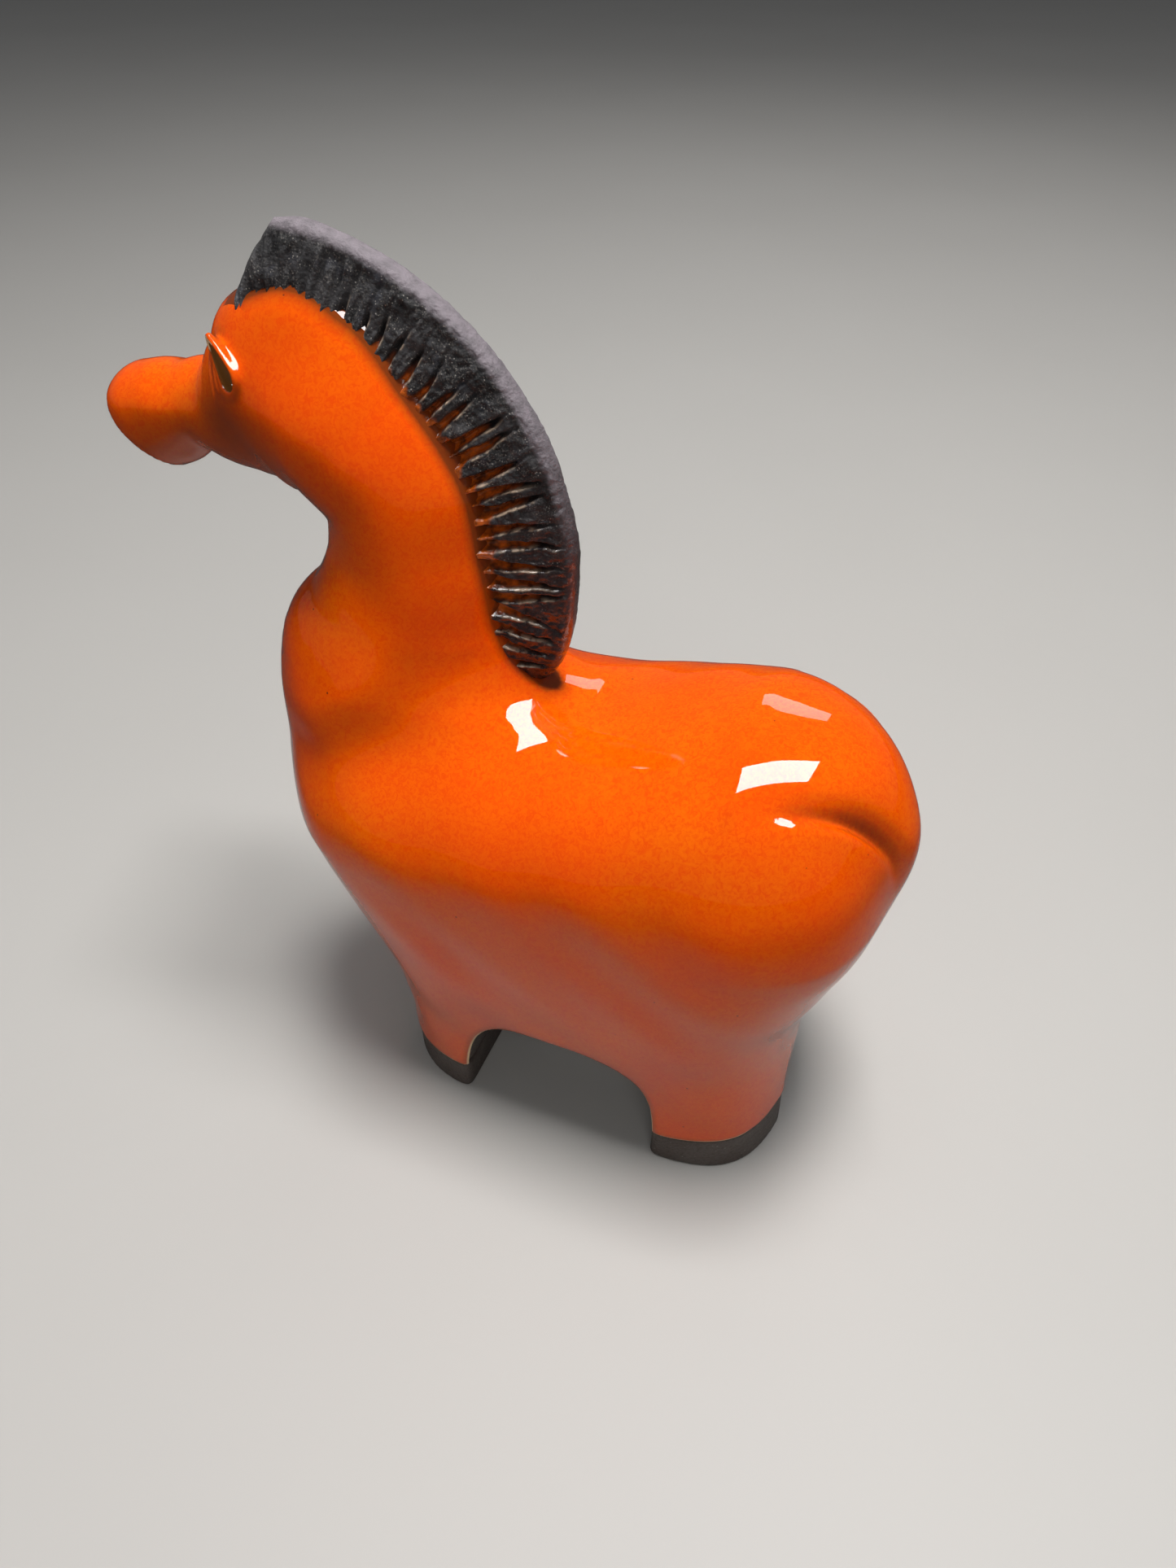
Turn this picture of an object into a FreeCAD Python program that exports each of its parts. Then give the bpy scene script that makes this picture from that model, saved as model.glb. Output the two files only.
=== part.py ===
"""Glazed stoneware horse: a stylised, crop-maned horse on four stub legs.

Frame: +Z up, the head points to -X, the horse's left flank faces -Y and the
plane Y = 0 is its plane of symmetry. The origin lies on the standing surface,
below the middle of the overall length. All lengths are millimetres.
"""
import FreeCAD, Part
import math
import os

import Sketcher
from FreeCAD import Placement, Rotation, Vector

ALONG = Vector(1, 0, 0)
ACROSS = Vector(0, 1, 0)
UP = Vector(0, 0, 1)

# name, value, meaning
DIMENSIONS = (
    ("glaze_thickness", 0.8, "glass layer over the clay"),
    ("wall_thickness", 5.0, "clay wall of the hollow casting"),
    ("hoof_height", 17.0, "bare clay band at each foot"),
    ("reach", 150.0, "longer than the horse's half length, for cutting tools"),
    ("leg_middle", 32.5, "half way between the front and the rear legs"),
    ("side_arch_length", 73.0, "gap between a front and a rear leg"),
    ("side_arch_height", 51.0, "crown of that gap"),
    ("side_arch_radius", 25.0, "its upper corners"),
    ("arch_foot", 5.0, "how far the tools for the gaps reach below the table"),
    ("front_arch_width", 28.0, "gap between a left and a right leg"),
    ("front_arch_height", 40.0, "crown of that gap"),
    ("front_arch_radius", 13.0, "its upper corners"),
    ("vent_radius", 4.5, "firing vent in the belly"),
    ("vent_reach", 20.0, "how far the vent's tool goes on above the side gap"),
    ("mane_centre_x", -68.0, "centre of the mane's curve, along the horse"),
    ("mane_centre_z", 209.5, "centre of the mane's curve, above the table"),
    ("mane_outer_radius", 90.5, "edge of the crest"),
    ("mane_inner_radius", 58.0, "root of the crest, inside the neck"),
    ("mane_thickness", 10.0, "crest thickness across the horse"),
    ("mane_low_angle", -19.0, "end of the crest at the withers, degrees"),
    ("mane_high_angle", 90.0, "end of the crest above the forehead, degrees"),
    ("mane_forelock", 14.0, "how far the root runs on past the edge, degrees"),
    ("groove_root", 69.5, "inner end of a groove, from the mane centre"),
    ("groove_width", 1.9, "width of a groove"),
    ("groove_depth", 1.5, "depth of a groove in each face"),
    ("groove_count", 20.0, "number of grooves along the crest"),
    ("groove_first", -17.0, "angle of the lowest groove, degrees"),
    ("groove_span", 82.0, "angle from the lowest groove to the highest"),
    ("ear_length", 19.0, "hood of the ear, root to tip"),
    ("ear_radius", 8.5, "outer radius of the hood at the root"),
    ("ear_wall", 2.4, "clay thickness of the hood"),
    ("ear_x", -68.0, "root of the ear, along the horse"),
    ("ear_y", -21.0, "root of the left ear, from the middle plane"),
    ("ear_z", 259.0, "root of the ear, above the table"),
    ("ear_rise", 40.0, "how steeply the ear points up, degrees"),
    ("ear_splay", -4.0, "how far the ear points outwards, degrees; inwards below 0"),
    ("ear_roll", 18.0, "how far its hollow turns outwards, degrees; facing down at 0"),
    ("ear_wrap", 200.0, "how far the hood wraps round its hollow, degrees"),
)

# The torso and legs taper as one form, described by level slices:
# name, height, front end, rear end, half width, squareness of the slice.
TORSO_SLICES = (
    ("foot", 0.0, -41.0, 113.0, 50.0, 3.0),
    ("fetlock", 16.0, -41.5, 112.0, 50.5, 2.9),
    ("knee", 42.0, -43.0, 111.0, 52.0, 2.8),
    ("belly", 72.0, -53.0, 115.0, 56.0, 2.6),
    ("barrel", 102.0, -70.0, 126.0, 58.5, 2.4),
    ("flank", 126.0, -78.0, 130.5, 58.0, 2.4),
    ("loin", 145.0, -74.0, 130.0, 53.0, 2.3),
    ("croup", 158.0, -60.0, 126.0, 45.0, 2.2),
    ("back", 167.5, -30.0, 119.5, 34.5, 2.1),
    ("ridge", 174.0, 18.0, 109.5, 22.0, 2.0),
    ("spine", 177.0, 46.0, 94.0, 9.0, 2.0),
)

# The neck and head bend as one form, described by slices square to its line:
# name, centre along the horse, centre height, lean towards the muzzle in
# degrees, half depth in the middle plane, half width across it.
NECK_SLICES = (
    ("root", -33.0, 120.0, 0.0, 41.5, 37.5),
    ("chest", -35.5, 146.0, 0.0, 45.0, 40.0),
    ("base", -35.5, 170.0, 0.0, 43.0, 37.5),
    ("shoulder", -34.5, 181.0, 0.0, 39.5, 35.0),
    ("throat", -32.5, 192.0, 0.0, 35.0, 32.0),
    ("nape", -30.0, 212.0, 8.0, 30.0, 27.0),
    ("crown", -37.0, 234.0, 34.0, 29.5, 26.0),
    ("poll", -58.0, 251.0, 65.0, 33.0, 25.0),
    ("brow", -77.0, 252.0, 86.0, 29.0, 21.5),
    ("cheek", -90.0, 246.5, 92.0, 20.5, 17.0),
    ("bridge", -100.0, 242.5, 98.0, 14.0, 14.0),
    ("muzzle", -111.0, 238.5, 100.0, 16.5, 16.0),
    ("nose", -121.0, 236.5, 104.0, 15.5, 15.0),
    ("lip", -129.0, 236.0, 106.0, 10.0, 10.0),
    ("tip", -132.5, 236.0, 106.0, 4.0, 4.0),
)

# The tail lies along the rump and narrows to its tip, described like the neck,
# from the tip up to where it sinks into the back.
TAIL_SLICES = (
    ("tail_tip", 123.0, 112.0, -8.0, 4.0, 4.5),
    ("tail_low", 126.0, 130.0, 5.0, 8.0, 11.0),
    ("tail_middle", 122.0, 147.0, 26.0, 11.0, 17.0),
    ("tail_high", 111.0, 160.0, 48.0, 12.0, 21.0),
    ("tail_root", 96.0, 166.0, 66.0, 11.0, 21.0),
    ("tail_end", 78.0, 166.0, 85.0, 5.0, 14.0),
)
# The muzzle is solid clay: the hollow inside the neck leaves these slices out.
SOLID_CLAY_SLICES = ("bridge", "muzzle", "nose", "lip", "tip")
# Slices that close the end of a form; an inner form's end is drawn in there too.
CLOSING_SLICES = ("spine", "lip", "tip")
SLICE_POINTS = 20
BENT_SQUARENESS = 2.15

document = FreeCAD.newDocument("stoneware_horse")
sheet = document.addObject("Spreadsheet::Sheet", "Dimensions")


def fill_sheet():
    """Write every driving dimension and every slice into the sheet."""
    entries = [(name, value) for name, value, _meaning in DIMENSIONS]
    for name, height, front, rear, half_width, squareness in TORSO_SLICES:
        entries.append((name + "_height", height))
        entries.append((name + "_front", front))
        entries.append((name + "_rear", rear))
        entries.append((name + "_half_width", half_width))
        entries.append((name + "_squareness", squareness))
    for name, along, height, lean, half_depth, half_width in NECK_SLICES + TAIL_SLICES:
        entries.append((name + "_along", along))
        entries.append((name + "_height", height))
        entries.append((name + "_lean", lean))
        entries.append((name + "_half_depth", half_depth))
        entries.append((name + "_half_width", half_width))
    for row, (name, value) in enumerate(entries, start=1):
        sheet.set("A%d" % row, name)
        sheet.set("B%d" % row, repr(value))
        sheet.setAlias("B%d" % row, name)
    document.recompute()


def size(name):
    """A dimension as it stands in the sheet."""
    return float(sheet.get(name))


def bind(item, expressions):
    """Tie properties of a document object to cells of the sheet."""
    for target, expression in expressions.items():
        item.setExpression(target, expression)


# ---------------------------------------------------------------- organic forms

def rounded_slice(centre, deep_axis, half_depth, half_width, squareness):
    """A smooth closed wire: an ellipse, squarer as squareness grows past 2."""
    points = []
    for step in range(SLICE_POINTS):
        angle = 2 * math.pi * step / SLICE_POINTS
        cosine, sine = math.cos(angle), math.sin(angle)
        deep = math.copysign(abs(cosine) ** (2 / squareness), cosine) * half_depth
        wide = math.copysign(abs(sine) ** (2 / squareness), sine) * half_width
        points.append(centre + deep_axis * deep + ACROSS * wide)
    curve = Part.BSplineCurve()
    curve.interpolate(Points=points, PeriodicFlag=True)
    return Part.Wire([curve.toShape()])


def torso_shape(inset):
    """Torso and legs as one solid, drawn in by inset all round."""
    wires = []
    for name, *_rest in TORSO_SLICES:
        front = size(name + "_front") + inset
        rear = size(name + "_rear") - inset
        height = size(name + "_height")
        if name in CLOSING_SLICES:
            height -= inset
        centre = Vector((front + rear) / 2, 0, height)
        wires.append(rounded_slice(centre, ALONG, (rear - front) / 2,
                                   size(name + "_half_width") - inset,
                                   size(name + "_squareness")))
    return Part.makeLoft(wires, True, False)


def bent_shape(slices, inset=0.0, left_out=()):
    """A form along a bent line in the middle plane, drawn in by inset."""
    wires = []
    for name, *_rest in slices:
        if name in left_out:
            continue
        lean = math.radians(size(name + "_lean"))
        deep_axis = Vector(math.cos(lean), 0, math.sin(lean))
        forward = Vector(-math.sin(lean), 0, math.cos(lean))
        centre = Vector(size(name + "_along"), 0, size(name + "_height"))
        if name in CLOSING_SLICES:
            centre -= forward * inset
        wires.append(rounded_slice(centre, deep_axis,
                                   size(name + "_half_depth") - inset,
                                   size(name + "_half_width") - inset,
                                   BENT_SQUARENESS))
    return Part.makeLoft(wires, True, False)


def add_form(name, shape):
    """A free-form solid as a document object."""
    form = document.addObject("Part::Feature", name)
    form.Shape = shape
    form.Placement = Placement()
    return form


# -------------------------------------------------------------- boolean helpers

def combine(kind, name, base, tool):
    """A Part boolean of two document objects, with its seams left alone."""
    result = document.addObject(kind, name)
    result.Base = base
    result.Tool = tool
    result.Refine = False
    return result


def cut(name, base, tool):
    return combine("Part::Cut", name, base, tool)


def fuse(name, base, tool):
    return combine("Part::Fuse", name, base, tool)


def common(name, base, tool):
    return combine("Part::Common", name, base, tool)


def cut_all(name, base, tools):
    """Cut several tools from a base, one after another."""
    result = base
    for number, tool in enumerate(tools, start=1):
        last = number == len(tools)
        result = cut(name if last else "%s_cut_%d" % (name, number), result, tool)
    return result


def largest_solid(name, source):
    """A boolean's largest solid, without the crumbs that nearly flush seams leave."""
    document.recompute()
    return add_form(name, max(source.Shape.Solids, key=lambda solid: solid.Volume))


def mirrored(name, source):
    """The same piece on the other side of the middle plane."""
    result = document.addObject("Part::Mirroring", name)
    result.Source = source
    result.Normal = ACROSS
    result.Base = Vector(0, 0, 0)
    return result


def box(name, expressions):
    """A box whose corner and sides are given as expressions on the sheet."""
    result = document.addObject("Part::Box", name)
    bind(result, expressions)
    return result


# ------------------------------------------------------------- sketched bodies

def origin_plane(body, role):
    return next(item for item in body.Origin.OriginFeatures if item.Role == role)


def add_sketch(body, name, role, offset=None):
    """A sketch on one of the body's own origin planes."""
    sketch = body.newObject("Sketcher::SketchObject", name)
    sketch.AttachmentSupport = [(origin_plane(body, role), "")]
    sketch.MapMode = "FlatFace"
    bind(sketch, offset or {})
    return sketch


def arch_tool(name, role, length, height, radius, middle):
    """A tool with a round-shouldered outline, for the gap between two legs.

    The outline is a slot standing on the table and centred on middle; the
    pad runs the full reach to both sides of the sketch plane.
    """
    body = document.addObject("PartDesign::Body", name)
    sketch = add_sketch(body, name + "_outline", role,
                        {"AttachmentOffset.Base.x": middle})
    half, top, corner = size(length) / 2, size(height), size(radius)
    low = -size("arch_foot")
    points = [Vector(-half, low, 0), Vector(-half, top - corner, 0),
              Vector(-half + corner, top, 0), Vector(half - corner, top, 0),
              Vector(half, top - corner, 0), Vector(half, low, 0)]
    left_centre = Vector(-half + corner, top - corner, 0)
    right_centre = Vector(half - corner, top - corner, 0)
    sketch.addGeometry(Part.LineSegment(points[0], points[1]))
    sketch.addGeometry(Part.ArcOfCircle(Part.Circle(left_centre, UP, corner),
                                        math.pi / 2, math.pi))
    sketch.addGeometry(Part.LineSegment(points[2], points[3]))
    sketch.addGeometry(Part.ArcOfCircle(Part.Circle(right_centre, UP, corner),
                                        0, math.pi / 2))
    sketch.addGeometry(Part.LineSegment(points[4], points[5]))
    sketch.addGeometry(Part.LineSegment(points[5], points[0]))
    constrain = sketch.addConstraint
    constrain(Sketcher.Constraint("Tangent", 0, 2, 1, 2))
    constrain(Sketcher.Constraint("Tangent", 1, 1, 2, 1))
    constrain(Sketcher.Constraint("Tangent", 2, 2, 3, 2))
    constrain(Sketcher.Constraint("Tangent", 3, 1, 4, 1))
    constrain(Sketcher.Constraint("Coincident", 4, 2, 5, 1))
    constrain(Sketcher.Constraint("Coincident", 5, 2, 0, 1))
    constrain(Sketcher.Constraint("Vertical", 0))
    constrain(Sketcher.Constraint("Horizontal", 2))
    constrain(Sketcher.Constraint("Vertical", 4))
    constrain(Sketcher.Constraint("Equal", 1, 3))
    constrain(Sketcher.Constraint("Symmetric", 0, 1, 4, 2, -2))
    for cell, constraint in (
            ("arch_foot", Sketcher.Constraint("DistanceY", 0, 1, -1, 1, -low)),
            (length, Sketcher.Constraint("DistanceX", 0, 1, 4, 2, 2 * half)),
            (height, Sketcher.Constraint("DistanceY", -1, 1, 2, 1, top)),
            (radius, Sketcher.Constraint("Radius", 1, corner))):
        index = constrain(constraint)
        sketch.setExpression("Constraints[%d]" % index, "Dimensions." + cell)
    pad = body.newObject("PartDesign::Pad", name + "_pad")
    pad.Profile = sketch
    pad.Midplane = True
    pad.setExpression("Length", "2 * Dimensions.reach")
    return body


def foot_slab():
    """Everything below the edge of the glaze."""
    return box("foot_slab", {
        "Length": "2 * Dimensions.reach",
        "Width": "2 * Dimensions.reach",
        "Height": "Dimensions.hoof_height",
        "Placement.Base.x": "-Dimensions.reach",
        "Placement.Base.y": "-Dimensions.reach",
    })


def hoof_block(name, front):
    """The quarter of the foot slab that holds one left hoof."""
    start = "-Dimensions.reach + Dimensions.leg_middle" if front else "Dimensions.leg_middle"
    return box(name, {
        "Length": "Dimensions.reach",
        "Width": "Dimensions.reach",
        "Height": "Dimensions.hoof_height",
        "Placement.Base.x": start,
        "Placement.Base.y": "-Dimensions.reach",
    })


def hollow_block():
    """The space above the solid legs, where the casting is hollow."""
    return box("hollow_block", {
        "Length": "2 * Dimensions.reach",
        "Width": "2 * Dimensions.reach",
        "Height": "2 * Dimensions.reach",
        "Placement.Base.x": "-Dimensions.reach",
        "Placement.Base.y": "-Dimensions.reach",
        "Placement.Base.z": "Dimensions.side_arch_height + Dimensions.wall_thickness",
    })


def vent():
    """The firing vent, up through the belly between the legs."""
    result = document.addObject("Part::Cylinder", "vent")
    bind(result, {
        "Radius": "Dimensions.vent_radius",
        "Height": "Dimensions.side_arch_height + Dimensions.vent_reach",
        "Placement.Base.x": "Dimensions.leg_middle",
    })
    return result


def mane_outline(body):
    """Crest outline: two arcs about the mane centre, a round lower end and a
    straight slant down to the forehead."""
    outer, inner = size("mane_outer_radius"), size("mane_inner_radius")
    low = math.radians(size("mane_low_angle"))
    high = math.radians(size("mane_high_angle"))
    lock = high + math.radians(size("mane_forelock"))
    middle = (outer + inner) / 2
    centre = Vector(0, 0, 0)
    cap_centre = Vector(middle * math.cos(low), middle * math.sin(low), 0)
    sketch = add_sketch(body, "mane_outline", "XZ_Plane", {
        "AttachmentOffset.Base.x": "Dimensions.mane_centre_x",
        "AttachmentOffset.Base.y": "Dimensions.mane_centre_z",
    })
    sketch.addGeometry(Part.ArcOfCircle(Part.Circle(centre, UP, outer), low, high))
    sketch.addGeometry(Part.ArcOfCircle(Part.Circle(centre, UP, inner), low, lock))
    sketch.addGeometry(Part.ArcOfCircle(Part.Circle(cap_centre, UP, (outer - inner) / 2),
                                        low - math.pi, low))
    sketch.addGeometry(Part.LineSegment(
        Vector(outer * math.cos(high), outer * math.sin(high), 0),
        Vector(inner * math.cos(lock), inner * math.sin(lock), 0)))
    constrain = sketch.addConstraint
    constrain(Sketcher.Constraint("Coincident", 0, 3, -1, 1))
    constrain(Sketcher.Constraint("Coincident", 1, 3, -1, 1))
    constrain(Sketcher.Constraint("Tangent", 0, 1, 2, 2))
    constrain(Sketcher.Constraint("Tangent", 1, 1, 2, 1))
    constrain(Sketcher.Constraint("Coincident", 0, 2, 3, 1))
    constrain(Sketcher.Constraint("Coincident", 1, 2, 3, 2))
    for expression, constraint in (
            ("Dimensions.mane_outer_radius", Sketcher.Constraint("Radius", 0, outer)),
            ("Dimensions.mane_inner_radius", Sketcher.Constraint("Radius", 1, inner)),
            ("(Dimensions.mane_outer_radius + Dimensions.mane_inner_radius) / 2"
             " * sin(-Dimensions.mane_low_angle * 1 deg)",
             Sketcher.Constraint("DistanceY", 2, 3, -1, 1, -cap_centre.y)),
            ("Dimensions.mane_outer_radius * cos(Dimensions.mane_high_angle * 1 deg)",
             Sketcher.Constraint("DistanceX", -1, 1, 0, 2, outer * math.cos(high))),
            ("-Dimensions.mane_inner_radius"
             " * cos((Dimensions.mane_high_angle + Dimensions.mane_forelock) * 1 deg)",
             Sketcher.Constraint("DistanceX", 1, 2, -1, 1, -inner * math.cos(lock)))):
        index = constrain(constraint)
        sketch.setExpression("Constraints[%d]" % index, expression)
    return sketch


def groove_outline(body, name, side):
    """One radial groove, drawn just under the face of the crest on one side."""
    root, outer = size("groove_root"), size("mane_outer_radius") + size("groove_width")
    half = size("groove_width") / 2
    sketch = add_sketch(body, name, "XZ_Plane", {
        "AttachmentOffset.Base.x": "Dimensions.mane_centre_x",
        "AttachmentOffset.Base.y": "Dimensions.mane_centre_z",
        "AttachmentOffset.Base.z":
            "%d * (Dimensions.mane_thickness / 2 - Dimensions.groove_depth)" % side,
    })
    sketch.AttachmentOffset = Placement(sketch.AttachmentOffset.Base,
                                        Rotation(UP, size("groove_first")))
    sketch.setExpression("AttachmentOffset.Rotation.Angle", "Dimensions.groove_first * 1 deg")
    corners = [Vector(root, -half, 0), Vector(outer, -half, 0),
               Vector(outer, half, 0), Vector(root, half, 0)]
    for number in range(4):
        sketch.addGeometry(Part.LineSegment(corners[number], corners[(number + 1) % 4]))
    constrain = sketch.addConstraint
    for number in range(4):
        constrain(Sketcher.Constraint("Coincident", number, 2, (number + 1) % 4, 1))
    constrain(Sketcher.Constraint("Horizontal", 0))
    constrain(Sketcher.Constraint("Vertical", 1))
    constrain(Sketcher.Constraint("Horizontal", 2))
    constrain(Sketcher.Constraint("Symmetric", 0, 1, 2, 2, -1))
    for expression, constraint in (
            ("Dimensions.groove_root",
             Sketcher.Constraint("DistanceX", -1, 1, 0, 1, root)),
            ("Dimensions.mane_outer_radius + Dimensions.groove_width",
             Sketcher.Constraint("DistanceX", -1, 1, 0, 2, outer)),
            ("Dimensions.groove_width",
             Sketcher.Constraint("DistanceY", 1, 1, 1, 2, 2 * half))):
        index = constrain(constraint)
        sketch.setExpression("Constraints[%d]" % index, expression)
    return sketch


def mane_body():
    """The crest as a slab with radial grooves combed into both faces."""
    body = document.addObject("PartDesign::Body", "mane_slab")
    outline = mane_outline(body)
    pad = body.newObject("PartDesign::Pad", "mane_pad")
    pad.Profile = outline
    pad.Midplane = True
    pad.setExpression("Length", "Dimensions.mane_thickness")
    document.recompute()
    pockets = []
    for name, side in (("left_groove", 1), ("right_groove", -1)):
        before = body.Shape.Volume
        sketch = groove_outline(body, name + "_outline", side)
        pocket = body.newObject("PartDesign::Pocket", name)
        pocket.Profile = sketch
        pocket.Reversed = side > 0
        pocket.setExpression("Length", "2 * Dimensions.groove_depth")
        document.recompute()
        if not body.Shape.Volume < before:
            raise RuntimeError(name + " cuts nothing")
        pockets.append(pocket)
    pattern = body.newObject("PartDesign::PolarPattern", "groove_pattern")
    pattern.Originals = pockets
    pattern.Axis = (outline, ["N_Axis"])
    pattern.Reversed = False
    pattern.setExpression("Angle", "Dimensions.groove_span")
    pattern.setExpression("Occurrences", "Dimensions.groove_count")
    body.Tip = pattern
    return body


def ear_hood():
    """The left ear: half of a hollow cone with a closed tip."""
    body = document.addObject("PartDesign::Body", "ear_hood")
    sketch = add_sketch(body, "ear_outline", "XY_Plane")
    radius, wall, length = size("ear_radius"), size("ear_wall"), size("ear_length")
    corners = [Vector(radius, 0, 0), Vector(0, length, 0),
               Vector(0, length - 2 * wall, 0), Vector(radius - wall, 0, 0)]
    for number in range(4):
        sketch.addGeometry(Part.LineSegment(corners[number], corners[(number + 1) % 4]))
    constrain = sketch.addConstraint
    for number in range(4):
        constrain(Sketcher.Constraint("Coincident", number, 2, (number + 1) % 4, 1))
    constrain(Sketcher.Constraint("PointOnObject", 0, 1, -1))
    constrain(Sketcher.Constraint("PointOnObject", 0, 2, -2))
    constrain(Sketcher.Constraint("PointOnObject", 1, 2, -2))
    constrain(Sketcher.Constraint("PointOnObject", 2, 2, -1))
    for expression, constraint in (
            ("Dimensions.ear_radius",
             Sketcher.Constraint("DistanceX", -1, 1, 0, 1, radius)),
            ("Dimensions.ear_length",
             Sketcher.Constraint("DistanceY", -1, 1, 0, 2, length)),
            ("2 * Dimensions.ear_wall",
             Sketcher.Constraint("DistanceY", 1, 2, 1, 1, 2 * wall)),
            ("Dimensions.ear_wall",
             Sketcher.Constraint("DistanceX", 3, 1, 3, 2, wall))):
        index = constrain(constraint)
        sketch.setExpression("Constraints[%d]" % index, expression)
    revolution = body.newObject("PartDesign::Revolution", "ear_revolution")
    revolution.Profile = sketch
    revolution.ReferenceAxis = (sketch, ["V_Axis"])
    revolution.setExpression("Angle", "Dimensions.ear_wrap")
    body.Placement = ear_placement()
    return body


def ear_placement():
    """Puts the root of the left ear on the head and turns its hollow outwards."""
    rise, splay = math.radians(size("ear_rise")), math.radians(size("ear_splay"))
    roll = math.radians(size("ear_roll"))
    pointing = Vector(-math.cos(rise) * math.cos(splay),
                      -math.cos(rise) * math.sin(splay), math.sin(rise))
    hollow_side = Vector(0, -math.sin(roll), -math.cos(roll))
    turn = Rotation(Vector(), pointing, hollow_side, "YZX")
    return Placement(Vector(size("ear_x"), size("ear_y"), size("ear_z")), turn)


# -------------------------------------------------------------------- assembly

def build():
    """Make every piece and return the pieces by their node names."""
    glaze, wall = size("glaze_thickness"), size("wall_thickness")
    outside = fuse("outside", add_form("outside_torso", torso_shape(0.0)),
                   add_form("outside_neck", bent_shape(NECK_SLICES)))
    clay = fuse("clay", add_form("clay_torso", torso_shape(glaze)),
                add_form("clay_neck", bent_shape(NECK_SLICES, glaze)))
    hollow = fuse("hollow", add_form("hollow_torso", torso_shape(glaze + wall)),
                  add_form("hollow_neck",
                           bent_shape(NECK_SLICES, glaze + wall, SOLID_CLAY_SLICES)))
    hollow = common("cavity", hollow, hollow_block())
    gaps = fuse("leg_gaps",
                arch_tool("side_arch", "XZ_Plane", "side_arch_length",
                          "side_arch_height", "side_arch_radius", "Dimensions.leg_middle"),
                arch_tool("front_arch", "YZ_Plane", "front_arch_width",
                          "front_arch_height", "front_arch_radius", "0"))
    slab = foot_slab()
    mane = mane_body()
    ear = ear_hood()
    tail = add_form("tail_lump", bent_shape(TAIL_SLICES))
    standing_clay = cut("standing_clay", clay, gaps)
    pieces = {
        "body_casting": cut_all("casting", standing_clay, (slab, hollow, vent())),
        "mane_crest": cut("crest", mane, clay),
        "ear_left": cut("left_ear", ear, clay),
        "tail": cut("tail_piece", tail, clay),
        "hoof_front_left": common("front_hoof", standing_clay,
                                  hoof_block("front_hoof_block", True)),
        "hoof_rear_left": common("rear_hoof", standing_clay,
                                 hoof_block("rear_hoof_block", False)),
    }
    pieces["ear_right"] = mirrored("right_ear", pieces["ear_left"])
    pieces["hoof_front_right"] = mirrored("front_hoof_mirror", pieces["hoof_front_left"])
    pieces["hoof_rear_right"] = mirrored("rear_hoof_mirror", pieces["hoof_rear_left"])
    coat = cut_all("coat", outside, (
        clay, tail, slab, gaps, mane, ear, mirrored("ear_hood_mirror", ear)))
    pieces["glaze_coat"] = largest_solid("glaze", coat)
    document.recompute()
    for node, piece in pieces.items():
        piece.Label = node
    return pieces


def check(pieces):
    """Stop if any object failed or any piece isn't a sound solid."""
    for item in document.Objects:
        if "Invalid" in item.State or "Error" in item.State:
            raise RuntimeError("%s failed: %s" % (item.Name, item.State))
    for node, piece in pieces.items():
        shape = piece.Shape
        if shape.isNull() or not shape.isValid() or len(shape.Solids) != 1:
            raise RuntimeError(node + " isn't one valid solid")


fill_sheet()
horse = build()
check(horse)
os.makedirs("parts", exist_ok=True)
for node, piece in sorted(horse.items()):
    piece.Shape.exportStep("parts/%s.step" % node)
    bounds = piece.Shape.BoundBox
    print("%-17s %d solid(s) %9.0f mm3  x %6.1f..%6.1f  y %6.1f..%6.1f  z %6.1f..%6.1f" % (
        node, len(piece.Shape.Solids), piece.Shape.Volume, bounds.XMin, bounds.XMax,
        bounds.YMin, bounds.YMax, bounds.ZMin, bounds.ZMax))
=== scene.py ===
import math
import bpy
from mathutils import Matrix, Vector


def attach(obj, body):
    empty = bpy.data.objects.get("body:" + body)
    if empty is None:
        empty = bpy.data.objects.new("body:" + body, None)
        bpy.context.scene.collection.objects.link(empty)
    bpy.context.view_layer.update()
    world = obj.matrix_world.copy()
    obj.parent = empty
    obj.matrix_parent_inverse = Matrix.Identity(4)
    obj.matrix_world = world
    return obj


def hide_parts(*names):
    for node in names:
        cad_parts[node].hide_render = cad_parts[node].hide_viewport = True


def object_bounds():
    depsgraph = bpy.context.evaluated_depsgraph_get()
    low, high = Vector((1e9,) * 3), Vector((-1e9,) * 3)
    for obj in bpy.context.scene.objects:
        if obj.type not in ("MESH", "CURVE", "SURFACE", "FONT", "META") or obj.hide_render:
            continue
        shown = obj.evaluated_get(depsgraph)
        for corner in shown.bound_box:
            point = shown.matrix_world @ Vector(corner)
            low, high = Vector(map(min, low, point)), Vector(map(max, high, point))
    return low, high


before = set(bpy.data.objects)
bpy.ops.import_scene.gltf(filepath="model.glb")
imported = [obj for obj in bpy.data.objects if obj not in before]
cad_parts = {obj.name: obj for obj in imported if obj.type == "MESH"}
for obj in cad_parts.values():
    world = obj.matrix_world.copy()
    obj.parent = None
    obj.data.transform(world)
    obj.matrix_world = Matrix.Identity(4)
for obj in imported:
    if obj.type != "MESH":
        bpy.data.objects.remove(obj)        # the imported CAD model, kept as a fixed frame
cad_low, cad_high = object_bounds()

from types import SimpleNamespace as Sizes

import bpy
import numpy as np
from mathutils import Vector

# A rigid ceramic horse: one glossy orange glaze over a dark clay body, with a combed bare-clay
# mane, bare hooves, hooded ears and a broad tail. Its forms are numbers in millimetres on a horse
# 300 mm tall, in the row frame: head towards -X, left flank towards -Y, soles on z = 0.

DESIGN_HEIGHT = 300.0
METRE = (cad_high.z - cad_low.z) / DESIGN_HEIGHT   # metres in one design millimetre

# ---------------- dimensions

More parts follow.
